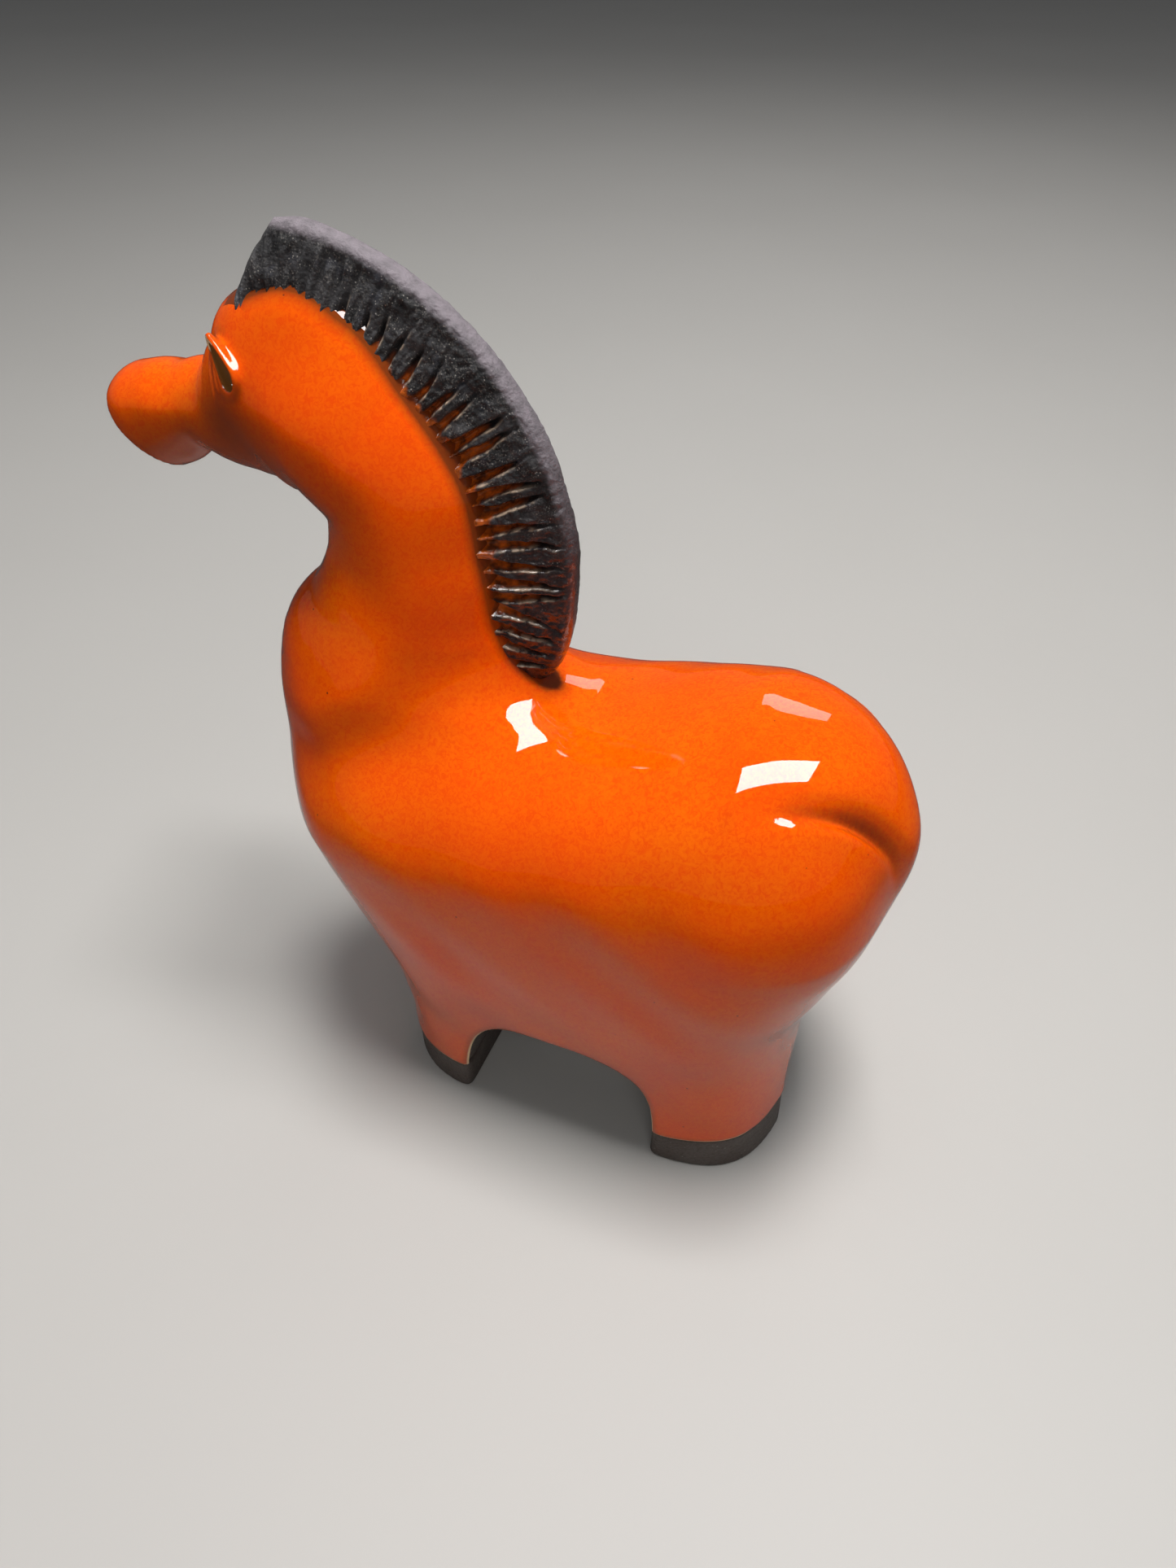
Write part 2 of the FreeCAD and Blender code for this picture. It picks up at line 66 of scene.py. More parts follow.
# levels of the trunk: height, front, rear, half width, squareness of the ends, of the sides
TRUNK_LEVELS = (
    (-8, -41, 113.5, 50.0, 2.9, 2.9),
    (16, -41, 112.5, 50.5, 2.9, 2.9),
    (42, -42, 111.5, 52.0, 2.8, 2.8),
    (72, -52, 115, 56.0, 2.45, 2.5),
    (92, -62.5, 123, 57.6, 2.4, 2.35),
    (106, -70, 128.5, 58.2, 2.5, 2.3),
    (118, -75, 131, 58.4, 2.6, 2.3),
)
# the right rear leg stands a little further forward than the left one
RIGHT_LEG = Sizes(shift=6.0, from_y=4.0, to_y=26.0, below=66.0, behind=40.0)
# straight share of the trunk's half length, and how softly its rounded ends begin
TRUNK_STRAIGHT = 0.40
END_SOFTNESS = 8.0
# the back seen from the side: distance along the horse, height
BACK_LINE = ((-70, 158), (-20, 160), (18, 164), (46, 170), (75, 177.5), (100, 181), (135, 183))
BACK_SQUARENESS = 2.4

# stations of a bent form: x, z, half depth in the plane of symmetry, half width across it
NECK_STATIONS = (
    (-31, 100, 40, 40),
    (-34, 146, 48, 45.5),
    (-35, 171, 46, 39.5),
    (-31.5, 192, 34, 32),
    (-29.5, 211, 28.5, 27),
    (-31.5, 230, 25.5, 26),
    (-44, 245, 25, 25),
)
HEAD_STATIONS = (
    (-40, 241.5, 23.5, 25),
    (-56, 252.5, 26, 24),
    (-71, 250.5, 27.5, 21),
    (-80, 247, 21.5, 18),
    (-91, 244, 17, 14.5),
    (-98, 244.5, 12.5, 13),
)
# the narrow ridge the mane's front end stands on
CREST_STATIONS = (
    (-46, 264.5, 16.5, 12.5),
    (-60, 268, 17.5, 13),
    (-67, 265.5, 15.5, 12.5),
    (-73, 258, 11, 10),
)
# the neck narrows towards the mane: the narrowing and the distances from the mane's centre
NAPE = Sizes(narrowing=0.22, start=42.0, end=72.0)
MUZZLE_STATIONS = (
    (-98, 243, 10, 12),
    (-109, 240, 15.5, 15.5),
    (-118, 237, 16.5, 16),
)
# the tail's stations have two more numbers: how far from the middle the creases along it run,
# and how deep they are
TAIL_STATIONS = (
    (125, 114, 3, 4, 4, 0.0),
    (126, 127, 7, 8.5, 7.5, 0.3),
    (124, 143, 10.5, 14.5, 12.5, 2.0),
    (115, 157, 12.5, 20, 19.5, 3.4),
    (102, 166, 13, 24, 29, 2.2),
    (92, 168, 11.5, 25.5, 34, 0.6),
    (84, 168, 10, 27, 37, 0.0),
)
CREASE_WIDTH = 3.2
# the creases and the tail's own patch end this many depths from its middle line
CREASE_REACH = 3.0
TAIL_REACH = 1.8
TAIL_FRONT = 84.0
# widths of the soft fillets where one form runs into the next
NECK_BLEND = 36.0
HEAD_BLEND = 10.0
CREST_BLEND = 12.0
MUZZLE_BLEND = 8.0
TAIL_BLEND = 11.0
EAR_BLEND = 4.0
# the flat front of the muzzle: how steeply it leans under, and where it crosses the middle line
MUZZLE_FRONT = Sizes(lean=38.0, x=-131.5, z=243.5, edge=3.5)
# below this height the muzzle's sides draw in by this share a millimetre
MUZZLE_RIDGE = 246.0
MUZZLE_PINCH = 0.014
# heights of the broad and the fine unevenness that hands leave in the clay
HAND_MARKS = Sizes(broad=0.35, fine=0.25)

# the arch through the flanks and the one between left and right legs
SIDE_ARCH = Sizes(middle=32.5, lean=0.046, half=36.5, height=51.5, power=3.2)
FRONT_ARCH = Sizes(half=14.0, height=40.0, power=3.0)
ARCH_RIM = 6.0

# the ear is a hood pinched up from the head: a cone laid along it, open outwards
EAR = Sizes(
    base=(-73.6, -18.8, 261.8),
    tip=(-80.6, -14.9, 270.4),
    outward=(-0.24, -0.90, 0.34),
    forward=0.42,  # how far the opening turns from outwards to forwards
    base_radius=5.0,
    tip_radius=1.3,
    taper=1.4,  # the power by which it narrows
    wall=1.3,
    least_hollow=0.1,
    lip=0.9,  # how far the rim stands above the cone's middle line
    rim_edge=1.2,
    hollow_edge=1.0,
    reach=14.5,  # the ear's piece of glaze ends this far from its middle
)
# the pale glaze along the ear's rim: its height over the opening, how wide it is, how deep into
# the wall it goes, and the stretch about the ear's middle over which it grows stronger
EAR_RIM = Sizes(height=-0.2, width=0.9, wall=1.9, start=-5.0, end=4.0, least=0.4)
# the painted shade inside the ear's hollow covers the surface this near the hollow's wall
EAR_HOLLOW_SHADE_REACH = 0.6

GLAZE_THICKNESS = 0.8
CLAY_WALL = 5.0
HOLLOW_FLOOR = 60.0
VENT = Sizes(x=32.5, radius=4.5, into_hollow=10.0, edge=1.0)
# the height of the glaze's lower edge, and how far it wanders along and across the horse
HOOF_LINE = 16.5
HOOF_WANDER = Sizes(along=1.3, across=0.7)
# the glaze stops this far from the arches and sinks by a share of its thickness along its edge
ARCH_GLAZE_STOP = 0.7
LIP_WIDTH = 1.4
LIP_SINK = 0.7
# stands for the distance from the glaze's edge where none is near
NO_EDGE = 20.0
# glaze pooled along the mane's foot, with painted shade in the corner there: its strength and
# reach, the degrees it goes past the front end, and the millimetres to a degree there
MANE_POOL_AND_SHADE = Sizes(share=0.9, reach=2.0, past_front=12.0, degree=1.2)
TAIL_SHELL = 4.0
HOOF_INSET = 0.5
HOOF_EDGE = 1.6
# the space around a hoof: along the horse, outwards from the middle plane, upwards
HOOF_SPACE = {"front": (-48.0, 14.0), "rear": (58.0, 116.0), "out": (8.0, 56.0), "up": (-3.0, 24.0)}

# the mane's arc about a centre, its section and its two ends; angles in degrees from the rear up
MANE = Sizes(
    x=-68.0, z=209.5,
    buried=60.0, root=68.0, crest=90.5,
    root_half=8.6, crest_half=3.5, crest_round=2.6, crest_power=2.6,
    low=-27.5, low_cap=8.0, low_power=2.2, low_middle=83.0, low_slant=0.08,
    low_swell=1.6, swell_from=15.0, swell_to=-20.0,
    front=87.0, front_cap=4.0, front_power=3.0, front_slant=0.48,
    corner_drop=1.2, corner_from=78.0, corner_turn=7.0,
    streaks_from=60.0, streaks_over=14.0, dipped_below=34.0, dip_over=45.0,
    drift=0.5, least_scale=0.02,
    rings=620, side_points=60, crest_points=12,
)
# the combed grooves: their places along the arc, size, and how far chance changes each
GROOVES = Sizes(
    count=22, first=-22.5, span=92.0, root=2.2, end=0.8, deep=3.6, long=18.0,
    front_loss=0.35, loss_from=0.45, loss_to=0.85,
    stray=0.6, stray_long=(0.78, 1.12), stray_deep=(0.8, 1.1), stray_root=(0.85, 1.1),
    sway=0.010, wobble=0.5, wobble_cell=4.5,
    section=1.7, flare=0.7, fade=0.86, lip=0.3,
)
# relief of the clay between the grooves, in millimetres
MANE_RELIEF = Sizes(
    streaks=0.75, root_streaks=0.8, faint_streaks=0.15, swell=0.7, pits=0.34, grain=0.22, crest=0.5,
)
MANE_RADIUS = 80.0  # turns angles into millimetres along the arc

# the space around the figure's surface, and grid spacings, in millimetres
FIGURE_LOW = (-140.0, -64.0, -6.0)
FIGURE_HIGH = (142.0, 64.0, 290.0)
SKIN_STEP = 1.5
EAR_STEP = 0.5
HOOF_STEP = 1.0
CASTING_STEP = 2.2
EAR_MARGIN = 3 * EAR_STEP
FAR = 60.0  # distances beyond this one don't matter
CAVITY_REACH = 6.0
RELAX_SHARE = 0.6  # how far a vertex moves towards its neighbours' mean in one round

# linear colours
ORANGE_LIT = (1.0, 0.150, 0.0003)
ORANGE_DEEP = (1.0, 0.108, 0.0003)
ORANGE_RED = (0.92, 0.050, 0.0003)
# painted shade: the glaze's brown where it faces downwards and over the cheeks
UNDERSIDE_SHADE_BROWN = (0.20, 0.032, 0.004)
# painted shade and pooled glaze in creases and along the mane's foot
POOL_AND_SHADE_OLIVE = (0.10, 0.030, 0.006)
# painted shade inside the ears' hollows
HOLLOW_SHADE_OLIVE = (0.26, 0.105, 0.026)
EDGE_BROWN = (0.30, 0.06, 0.015)
EDGE_CREAM = (0.85, 0.62, 0.36)
PIT_BROWN = (0.08, 0.02, 0.01)
CLAY_BROWN = (0.085, 0.064, 0.053)
CLAY_GREY = (0.115, 0.096, 0.084)
CLAY_DARK = (0.034, 0.026, 0.022)
CLAY_GRIT = (0.32, 0.29, 0.26)
# painted shade in the mane's grooves
MANE_GROOVE_SHADE = (0.006, 0.005, 0.005)
MANE_BLACK = (0.014, 0.013, 0.014)
MANE_CHARCOAL = (0.045, 0.041, 0.043)
MANE_BLOOM = (0.045, 0.052, 0.085)
MANE_CRYSTAL = (0.50, 0.45, 0.40)
MANE_CREST = (0.22, 0.185, 0.205)
MANE_DIPPED = (0.022, 0.006, 0.005)
# pale glaze breaking on the grooves' lips, with painted highlight on the ridges' upper edges
MANE_LIP_CREAM_AND_HIGHLIGHT = (0.55, 0.40, 0.28)
AMBER = (0.62, 0.12, 0.008)
AMBER_DARK = (0.12, 0.026, 0.006)
FLOOR_PALE = (0.56, 0.54, 0.51)
FLOOR_SHADE = (0.52, 0.50, 0.47)

# painted shade: the glaze turns brown over the cheeks, around this place
CHEEK_SHADE = Sizes(place=(-79, 20, 246), core=4.0, reach=24.0)

# the stage: the camera high on the horse's left, lights overhead, behind and beside it
CAMERA = Sizes(place=(132.0, -263.6, 382.0), turn=(48.43, 0.0, 22.0), lens=25.64)
FLOOR_REACH = 6.0
SKY = (0.86, 0.90, 0.95)
SKY_STRENGTH = 0.10
# the floor that the glaze mirrors darkens away from the horse, between these distances
REFLECTED_FLOOR = Sizes(near=100.0, far=300.0, shade=(0.035, 0.032, 0.030))
LIGHT_AIM = (0.0, 0.0, 0.1)
LIGHTS = (
    # name, place, width, length, watts, seen in the glaze, lights the clay
    ("overhead_light", (0.17, 0.04, 1.65), 0.58, 0.40, 25.5, False, True),
    ("window_light", (0.17, 0.04, 1.60), 0.62, 1.20, 56.0, True, False),
    ("back_light", (-0.10, 1.50, 1.15), 0.62, 0.25, 2.0, True, True),
    ("fill_light", (0.5, -1.3, 1.3), 0.90, 0.90, 5.0, False, True),
)


# ---------------- form fields

def smooth_curve(stations, at):
    """Values of a smooth curve through the stations at the given places, one column a value."""
    stations = np.asarray(stations, float)
    where, values = stations[:, 0], stations[:, 1:]
    slopes = np.gradient(values, where, axis=0)
    at = np.clip(np.asarray(at, float), where[0], where[-1])
    left = np.clip(np.searchsorted(where, at, side="right") - 1, 0, len(where) - 2)
    span = where[left + 1] - where[left]
    t = ((at - where[left]) / span)[..., None]
    span = span[..., None]
    return (
        (2 * t ** 3 - 3 * t ** 2 + 1) * values[left]
        + (t ** 3 - 2 * t ** 2 + t) * span * slopes[left]
        + (3 * t ** 2 - 2 * t ** 3) * values[left + 1]
        + (t ** 3 - t ** 2) * span * slopes[left + 1]
    )


def blend_union(a, b, width):
    """The union of two fields with a soft fillet of about that width."""
    near = np.maximum(width - np.abs(a - b), 0) / width
    return np.minimum(a, b) - near ** 3 * (width / 6)


def blend_cut(a, b, width):
    """Field a without field b, with its edge rounded over about that width."""
    return -blend_union(-a, b, width)


def as_distance(values, step):
    """A field rescaled so that its values near its surface are distances."""
    slopes = np.gradient(values, step)
    steepness = np.sqrt(sum(s * s for s in slopes))
    return np.clip(values / np.maximum(steepness, 1e-4), -FAR, FAR)


def trunk_field(x, y, z, step):
    """Barrel and legs as one bell: rounded levels below the widest one, a dome above it."""
    widest = TRUNK_LEVELS[-1][0]
    levels = smooth_curve(TRUNK_LEVELS, np.minimum(z, widest))
    front, rear, half_width, end_power, side_power = np.moveaxis(levels, -1, 0)
    middle = (front + rear) / 2
    half_length = (rear - front) / 2
    straight = TRUNK_STRAIGHT * half_length
    overhang = np.abs(x - middle) - straight
    overhang = (overhang + np.sqrt(overhang ** 2 + END_SOFTNESS ** 2)) / 2
    along = overhang / (half_length - straight)
    across = np.abs(y) / half_width
    back = smooth_curve(BACK_LINE, x)[..., 0]
    up = np.maximum(z - widest, 0) / (back - widest)
    total = along ** end_power + across ** side_power + up ** BACK_SQUARENESS
    return as_distance(total ** (1 / BACK_SQUARENESS) - 1, step)


def bent_frame(stations, x, z):
    """How far the plane of symmetry's points are from a bent middle line, and its numbers there."""
    stations = np.asarray(stations, float)
    reach = np.r_[0, np.cumsum(np.hypot(*np.diff(stations[:, :2], axis=0).T))]
    dense = np.linspace(0, reach[-1], 20 * (len(stations) - 1))
    line = smooth_curve(np.column_stack([reach, stations]), dense)
    plane_x = np.broadcast_to(x[:, 0, :], (x.shape[0], z.shape[2]))
    plane_z = np.broadcast_to(z[:, 0, :], plane_x.shape)
    nearest = np.full(plane_x.shape, np.inf)
    numbers = np.ones(plane_x.shape + (stations.shape[1] - 2,))
    for a, b in zip(line[:-1], line[1:]):
        run = b[:2] - a[:2]
        t = ((plane_x - a[0]) * run[0] + (plane_z - a[1]) * run[1]) / (run @ run)
        t = np.clip(t, 0, 1)
        gap = np.hypot(plane_x - a[0] - t * run[0], plane_z - a[1] - t * run[1])
        closer = gap < nearest
        nearest = np.where(closer, gap, nearest)
        numbers = np.where(closer[..., None], a[2:] + t[..., None] * (b[2:] - a[2:]), numbers)
    return nearest[:, None, :], np.moveaxis(numbers, -1, 0)[:, :, None, :]


def bent_field(stations, x, y, z):
    """A rounded form whose middle line bends in the plane of symmetry."""
    gap, (depth, width, *_) = bent_frame(stations, x, z)
    return (np.sqrt((gap / depth) ** 2 + (y / width) ** 2) - 1) * np.minimum(depth, width)


def tail_crease(x, y, z):
    """How deep the surface is pressed in along the two sides of the tail."""
    gap, (depth, _, aside, press) = bent_frame(TAIL_STATIONS, x, z)
    nearness = np.exp(-((np.abs(y) - aside) / CREASE_WIDTH) ** 2)
    return press * nearness * np.exp(-(gap / (CREASE_REACH * depth)) ** 4)


def muzzle_front_field(x, z):
    """Positive in front of the muzzle's flat front, which leans back under the nose."""
    lean = math.radians(MUZZLE_FRONT.lean)
    return (MUZZLE_FRONT.x - x) * math.cos(lean) + (MUZZLE_FRONT.z - z) * math.sin(lean)


def side_arch_field(x, z):
    """The opening between front and rear legs, seen from the side."""
    arch = SIDE_ARCH
    along = np.abs(x - arch.middle - arch.lean * z) / arch.half
    up = np.maximum(z, 0) / arch.height
    power = arch.power
    return ((along ** power + up ** power) ** (1 / power) - 1) * arch.half


def front_arch_field(y, z):
    """The opening between left and right legs, seen from the front."""
    arch = FRONT_ARCH
    up = np.maximum(z, 0) / arch.height
    power = arch.power
    total = (np.abs(y) / arch.half) ** power + up ** power
    return (total ** (1 / power) - 1) * arch.half


def hand_marks(x, y, z):
    """The slight unevenness that hands leave in thrown clay, in millimetres."""
    broad = np.sin(x / 11 + 1.3 * np.sin(z / 17)) * np.sin(z / 13 + y / 19)
    fine = np.sin(x / 6.1 + z / 9.0 + 0.7) * np.sin(y / 8.3 - z / 12.0)
    return HAND_MARKS.broad * broad + HAND_MARKS.fine * fine


def ear_frame():
    """The ear's axis: where it starts, its direction, its length and the way its opening faces."""
    base, tip = np.array(EAR.base), np.array(EAR.tip)
    length = np.linalg.norm(tip - base)
    along = (tip - base) / length
    outward = np.array(EAR.outward)
    outward = outward - (outward @ along) * along
    outward /= np.linalg.norm(outward)
    opening = outward + EAR.forward * np.cross(outward, along)
    return base, along, length, opening / np.linalg.norm(opening)


def ear_fields(x, y, z):
    """The pinched cone of both ears, its hollow, and the height above the opening's rim."""
    base, along, length, opening = ear_frame()
    offset = (x - base[0], -np.abs(y) - base[1], z - base[2])
    reach = sum(o * a for o, a in zip(offset, along))
    reach = np.clip(reach, 0, length)
    gap = np.sqrt(sum((o - reach * a) ** 2 for o, a in zip(offset, along)))
    narrowing = 1 - (reach / length) ** EAR.taper
    radius = EAR.tip_radius + (EAR.base_radius - EAR.tip_radius) * narrowing
    rise = sum(o * a for o, a in zip(offset, opening)) - EAR.lip
    cone = blend_cut(gap - radius, -rise, EAR.rim_edge)
    hollow = gap - np.maximum(radius - EAR.wall, EAR.least_hollow)
    return cone, hollow, rise


def grid(low, high, step):
    """Three broadcastable axes of a grid over a box."""
    counts = [int(math.ceil((b - a) / step)) + 1 for a, b in zip(low, high)]
    axes = [a + step * np.arange(n) for a, n in zip(low, counts)]
    return axes[0][:, None, None], axes[1][None, :, None], axes[2][None, None, :]


def ramp(value, low, high):
    """0 up to low, 1 from high on, smooth in between."""
    share = np.clip((value - low) / (high - low), 0, 1)
    return share * share * (3 - 2 * share)


def set_leg(x, y, z):
    """Where along the trunk's shape a place lies, with the right rear leg moved forward."""
    side = ramp(y, RIGHT_LEG.from_y, RIGHT_LEG.to_y)
    low_down = 1 - ramp(z, 0, RIGHT_LEG.below)
    behind = ramp(x, RIGHT_LEG.behind, TRUNK_LEVELS[0][2])
    return x + RIGHT_LEG.shift * side * low_down * behind


def horse_fields(low, high, step):
    """The fields of the whole figure on a grid: the outer surface and the arches' openings."""
    x, y, z = grid(low, high, step)
    trunk = trunk_field(set_leg(x, y, z), y, z, step)
    from_mane = np.hypot(x - MANE.x, z - MANE.z)
    nape = 1 + NAPE.narrowing * ramp(from_mane, NAPE.start, NAPE.end)
    neck = bent_field(NECK_STATIONS, x, y * nape, z)
    pinch = 1 + MUZZLE_PINCH * np.maximum(MUZZLE_RIDGE - z, 0)
    muzzle = bent_field(MUZZLE_STATIONS, x, y * pinch, z)
    tail = bent_field(TAIL_STATIONS, x, y, z)
    muzzle = blend_cut(muzzle, -muzzle_front_field(x, z), MUZZLE_FRONT.edge)
    head = blend_union(bent_field(HEAD_STATIONS, x, y * nape, z), muzzle, MUZZLE_BLEND)
    head = blend_union(head, bent_field(CREST_STATIONS, x, y, z), CREST_BLEND)
    body = blend_union(neck, head, HEAD_BLEND)
    body = blend_union(trunk, body, NECK_BLEND)
    body = blend_union(body, tail, TAIL_BLEND)
    body = body + tail_crease(x, y, z) + hand_marks(x, y, z)
    cone, hollow, _ = ear_fields(x, y, z)
    body = blend_cut(blend_union(body, cone, EAR_BLEND), hollow, EAR.hollow_edge)
    arches = blend_union(side_arch_field(x, z), front_arch_field(y, z), ARCH_RIM)
    outer = blend_cut(body, arches, ARCH_RIM)
    return outer.astype(np.float32), arches.astype(np.float32)


# ---------------- surfaces from fields

CORNERS = np.array([(i, j, k) for i in (0, 1) for j in (0, 1) for k in (0, 1)])


def surface_net(values, low, step):
    """Vertices and quads of the zero surface of a field, by naive surface nets."""
    inside = values < 0
    filled = inside.astype(np.int8)
    wide, deep, tall = np.array(values.shape) - 1
    counts = sum(filled[i:i + wide, j:j + deep, k:k + tall] for i, j, k in CORNERS)
    cells = np.argwhere((counts > 0) & (counts < 8))
    number = -np.ones(counts.shape, np.int64)
    number[tuple(cells.T)] = np.arange(len(cells))
    corner_values = [values[tuple((cells + c).T)] for c in CORNERS]
    total = np.zeros((len(cells), 3))
    hits = np.zeros(len(cells))
    for axis, to_next in enumerate((4, 2, 1)):
        for a in np.flatnonzero(CORNERS[:, axis] == 0):
            b = a + to_next
            crosses = (corner_values[a] < 0) != (corner_values[b] < 0)
            gap = np.where(crosses, corner_values[a] - corner_values[b], 1)
            point = np.tile(CORNERS[a].astype(float), (len(cells), 1))
            point[:, axis] += corner_values[a] / gap
            total += point * crosses[:, None]
            hits += crosses
    vertices = (cells + total / hits[:, None]) * step + np.asarray(low, float)
    quads = []
    for axis in range(3):
        first, second = (axis + 1) % 3, (axis + 2) % 3
        changes = np.argwhere(np.diff(inside, axis=axis))
        limits = np.array(counts.shape)
        fits = (changes[:, first] > 0) & (changes[:, second] > 0)
        fits &= (changes[:, first] < limits[first]) & (changes[:, second] < limits[second])
        changes = changes[fits]
        ring = []
        for back_first, back_second in ((1, 1), (0, 1), (0, 0), (1, 0)):
            cell = changes.copy()
            cell[:, first] -= back_first
            cell[:, second] -= back_second
            ring.append(number[tuple(cell.T)])
        ring = np.column_stack(ring)
        outward = inside[tuple(changes.T)]
        quads.append(np.where(outward[:, None], ring, ring[:, ::-1]))
    return vertices, np.concatenate(quads)


def sample(values, low, step, points):
    """A field's values at points, blended between its grid's corners."""
    place = (points - np.asarray(low, float)) / step
    place = np.clip(place, 0, np.array(values.shape) - 1.001)
    cell = place.astype(int)
    part = place - cell
    result = 0
    for corner in CORNERS:
        weight = np.prod(np.where(corner, part, 1 - part), axis=1)
        result = result + weight * values[tuple((cell + corner).T)]
    return result


def field_normals(values, low, step, points):
    """Outward unit normals of a field at points."""
    slopes = np.empty(points.shape)
    for axis in range(3):
        shift = np.zeros(3)
        shift[axis] = step
        ahead = sample(values, low, step, points + shift)
        behind = sample(values, low, step, points - shift)
        slopes[:, axis] = ahead - behind
    steepness = np.linalg.norm(slopes, axis=1)[:, None]
    return slopes / np.maximum(steepness, 1e-9)


def smooth_surface(values, low, step, rounds=3):
    """Evenly spaced vertices and quads of the zero surface of a field."""
    vertices, quads = surface_net(values, low, step)
    return relax(vertices, quads, values, low, step, rounds), quads


def relax(vertices, quads, values, low, step, rounds):
    """Evens out the vertices along the surface and pulls them exactly onto it."""
    ends = np.concatenate([quads, np.roll(quads, 1, axis=1)])
    starts = np.concatenate([np.roll(quads, 1, axis=1), quads])
    starts, ends = starts.ravel(), ends.ravel()
    degree = np.maximum(np.bincount(starts, minlength=len(vertices)), 1)
    for _ in range(rounds):
        mean = np.column_stack([
            np.bincount(starts, vertices[ends, axis], len(vertices)) / degree for axis in range(3)
        ])
        normal = field_normals(values, low, step, vertices)
        move = (mean - vertices) * RELAX_SHARE
        move -= normal * np.sum(move * normal, axis=1)[:, None]
        vertices = vertices + move
        off = sample(values, low, step, vertices)
        vertices = vertices - normal * np.clip(off, -step, step)[:, None]
    return vertices


def clip_faces(vertices, faces, keep):
    """Cuts quads where keep turns negative; a triangle comes out with its last corner twice."""
    sign = keep[faces] >= 0
    whole = faces[sign.all(axis=1)]
    mixed = faces[sign.any(axis=1) & ~sign.all(axis=1)]
    triangles = np.concatenate([mixed[:, [0, 1, 2]], mixed[:, [0, 2, 3]]])
    kept = (keep[triangles] >= 0).sum(axis=1)
    inner = triangles[kept == 3]
    crossed = triangles[(kept > 0) & (kept < 3)]
    # a crossed triangle starts at the corner that is alone on its side of the cut
    good = keep[crossed] >= 0
    alone_kept = good.sum(axis=1) == 1
    alone = np.where(alone_kept, good.argmax(axis=1), good.argmin(axis=1))
    a, b, c = crossed[np.arange(len(crossed)), (alone + [[0], [1], [2]]) % 3]
    pairs = np.sort(np.stack([np.r_[a, a], np.r_[b, c]], axis=1), axis=1)
    pairs, cut = np.unique(pairs, axis=0, return_inverse=True)
    to_b, to_c = cut.reshape(2, -1) + len(vertices)
    tips = np.stack([a, to_b, to_c, to_c], axis=1)[alone_kept]
    stumps = np.stack([to_b, b, c, to_c], axis=1)[~alone_kept]
    starts, ends = vertices[pairs[:, 0]], vertices[pairs[:, 1]]
    here, there = keep[pairs].T
    points = starts + (here / (here - there))[:, None] * (ends - starts)
    faces = np.concatenate([whole, inner[:, [0, 1, 2, 2]], tips, stumps])
    used, faces = np.unique(faces, return_inverse=True)
    return np.concatenate([vertices, points])[used], faces.reshape(-1, 4)


def open_edges(faces):
    """The directed edges that only one face uses."""
    edges = np.column_stack([faces.T.ravel(), np.roll(faces, -1, axis=1).T.ravel()])
    edges = edges[edges[:, 0] != edges[:, 1]]
    size = faces.max() + 1
    forward = edges[:, 0] * size + edges[:, 1]
    backward = edges[:, 1] * size + edges[:, 0]
    return edges[~np.isin(forward, backward)]


def thicken(vertices, faces, normals, depth):
    """A closed shell: the faces, a copy of them that far inwards, and the rim between."""
    inner = vertices - normals * depth
    rim = open_edges(faces)
    count = len(vertices)
    rim_faces = np.column_stack([rim[:, 1], rim[:, 0], rim[:, 0] + count, rim[:, 1] + count])
    all_faces = np.concatenate([faces, faces[:, ::-1] + count, rim_faces])
    return np.concatenate([vertices, inner]), all_faces, np.concatenate([normals, -normals])


# ---------------- Blender objects

def make_piece(name, vertices, faces, material, node, normals=None, attributes=None):
    """A smooth mesh object, in metres, that rides on the body and stands for a CAD node."""
    mesh = bpy.data.meshes.new(name)
    repeats = faces == np.roll(faces, -1, axis=1)
    polygons = [
        [corner for corner, repeat in zip(face, again) if not repeat]
        for face, again in zip(faces.tolist(), repeats.tolist())
    ]
    mesh.from_pydata((vertices * METRE).tolist(), [], polygons)
    mesh.shade_smooth()
    for key, values in (attributes or {}).items():
        layer = mesh.attributes.new(key, "FLOAT", "POINT")
        layer.data.foreach_set("value", np.asarray(values, np.float32))
    if normals is not None:
        mesh.normals_split_custom_set_from_vertices(normals.tolist())
    mesh.materials.append(material)
    piece = bpy.data.objects.new(name, mesh)
    bpy.context.scene.collection.objects.link(piece)
    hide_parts(node)
    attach(piece, "root")
    return piece


def hoof_line(x, y):
    """The height at which the glaze stops and the bare hoof begins; it wanders a little."""
    along = HOOF_WANDER.along * np.sin(x / 15 + 0.6)
    across = HOOF_WANDER.across * np.sin(y / 7 + x / 23)
    return HOOF_LINE + along + across


def tail_extent(x, y, z):
    """Positive within the tail's own patch of the surface, negative outside it."""
    gap, (depth, _, aside, _) = bent_frame(TAIL_STATIONS, x, z)
    around = np.minimum(aside - np.abs(y), TAIL_REACH * depth - gap)
    return np.minimum(around, x - TAIL_FRONT)


def glaze_edge(arches, points):
    """How far points are above the glaze's lower edge, or from its stop in the arches."""
    above_hoof = points[:, 2] - hoof_line(points[:, 0], points[:, 1])
    return np.minimum(above_hoof, sample(arches, FIGURE_LOW, SKIN_STEP, points) - ARCH_GLAZE_STOP)


def make_glaze(name, node, points, faces, normals, depth, glaze, **attributes):
    """A shell of glaze under a patch of surface, whose numbers serve both of its sides."""
    vertices, faces, both_normals = thicken(points, faces, normals, depth)
    attributes = {key: np.tile(values, 2) for key, values in attributes.items()}
    make_piece(name, vertices, faces, glaze, node, both_normals, attributes)


def cavity(values, low, step, points, normals):
    """0 on open surfaces, towards 1 in creases."""
    ahead = sample(values, low, step, points + normals * CAVITY_REACH)
    here = sample(values, low, step, points)
    return np.clip(1 - (ahead - here) / CAVITY_REACH, 0, 1)


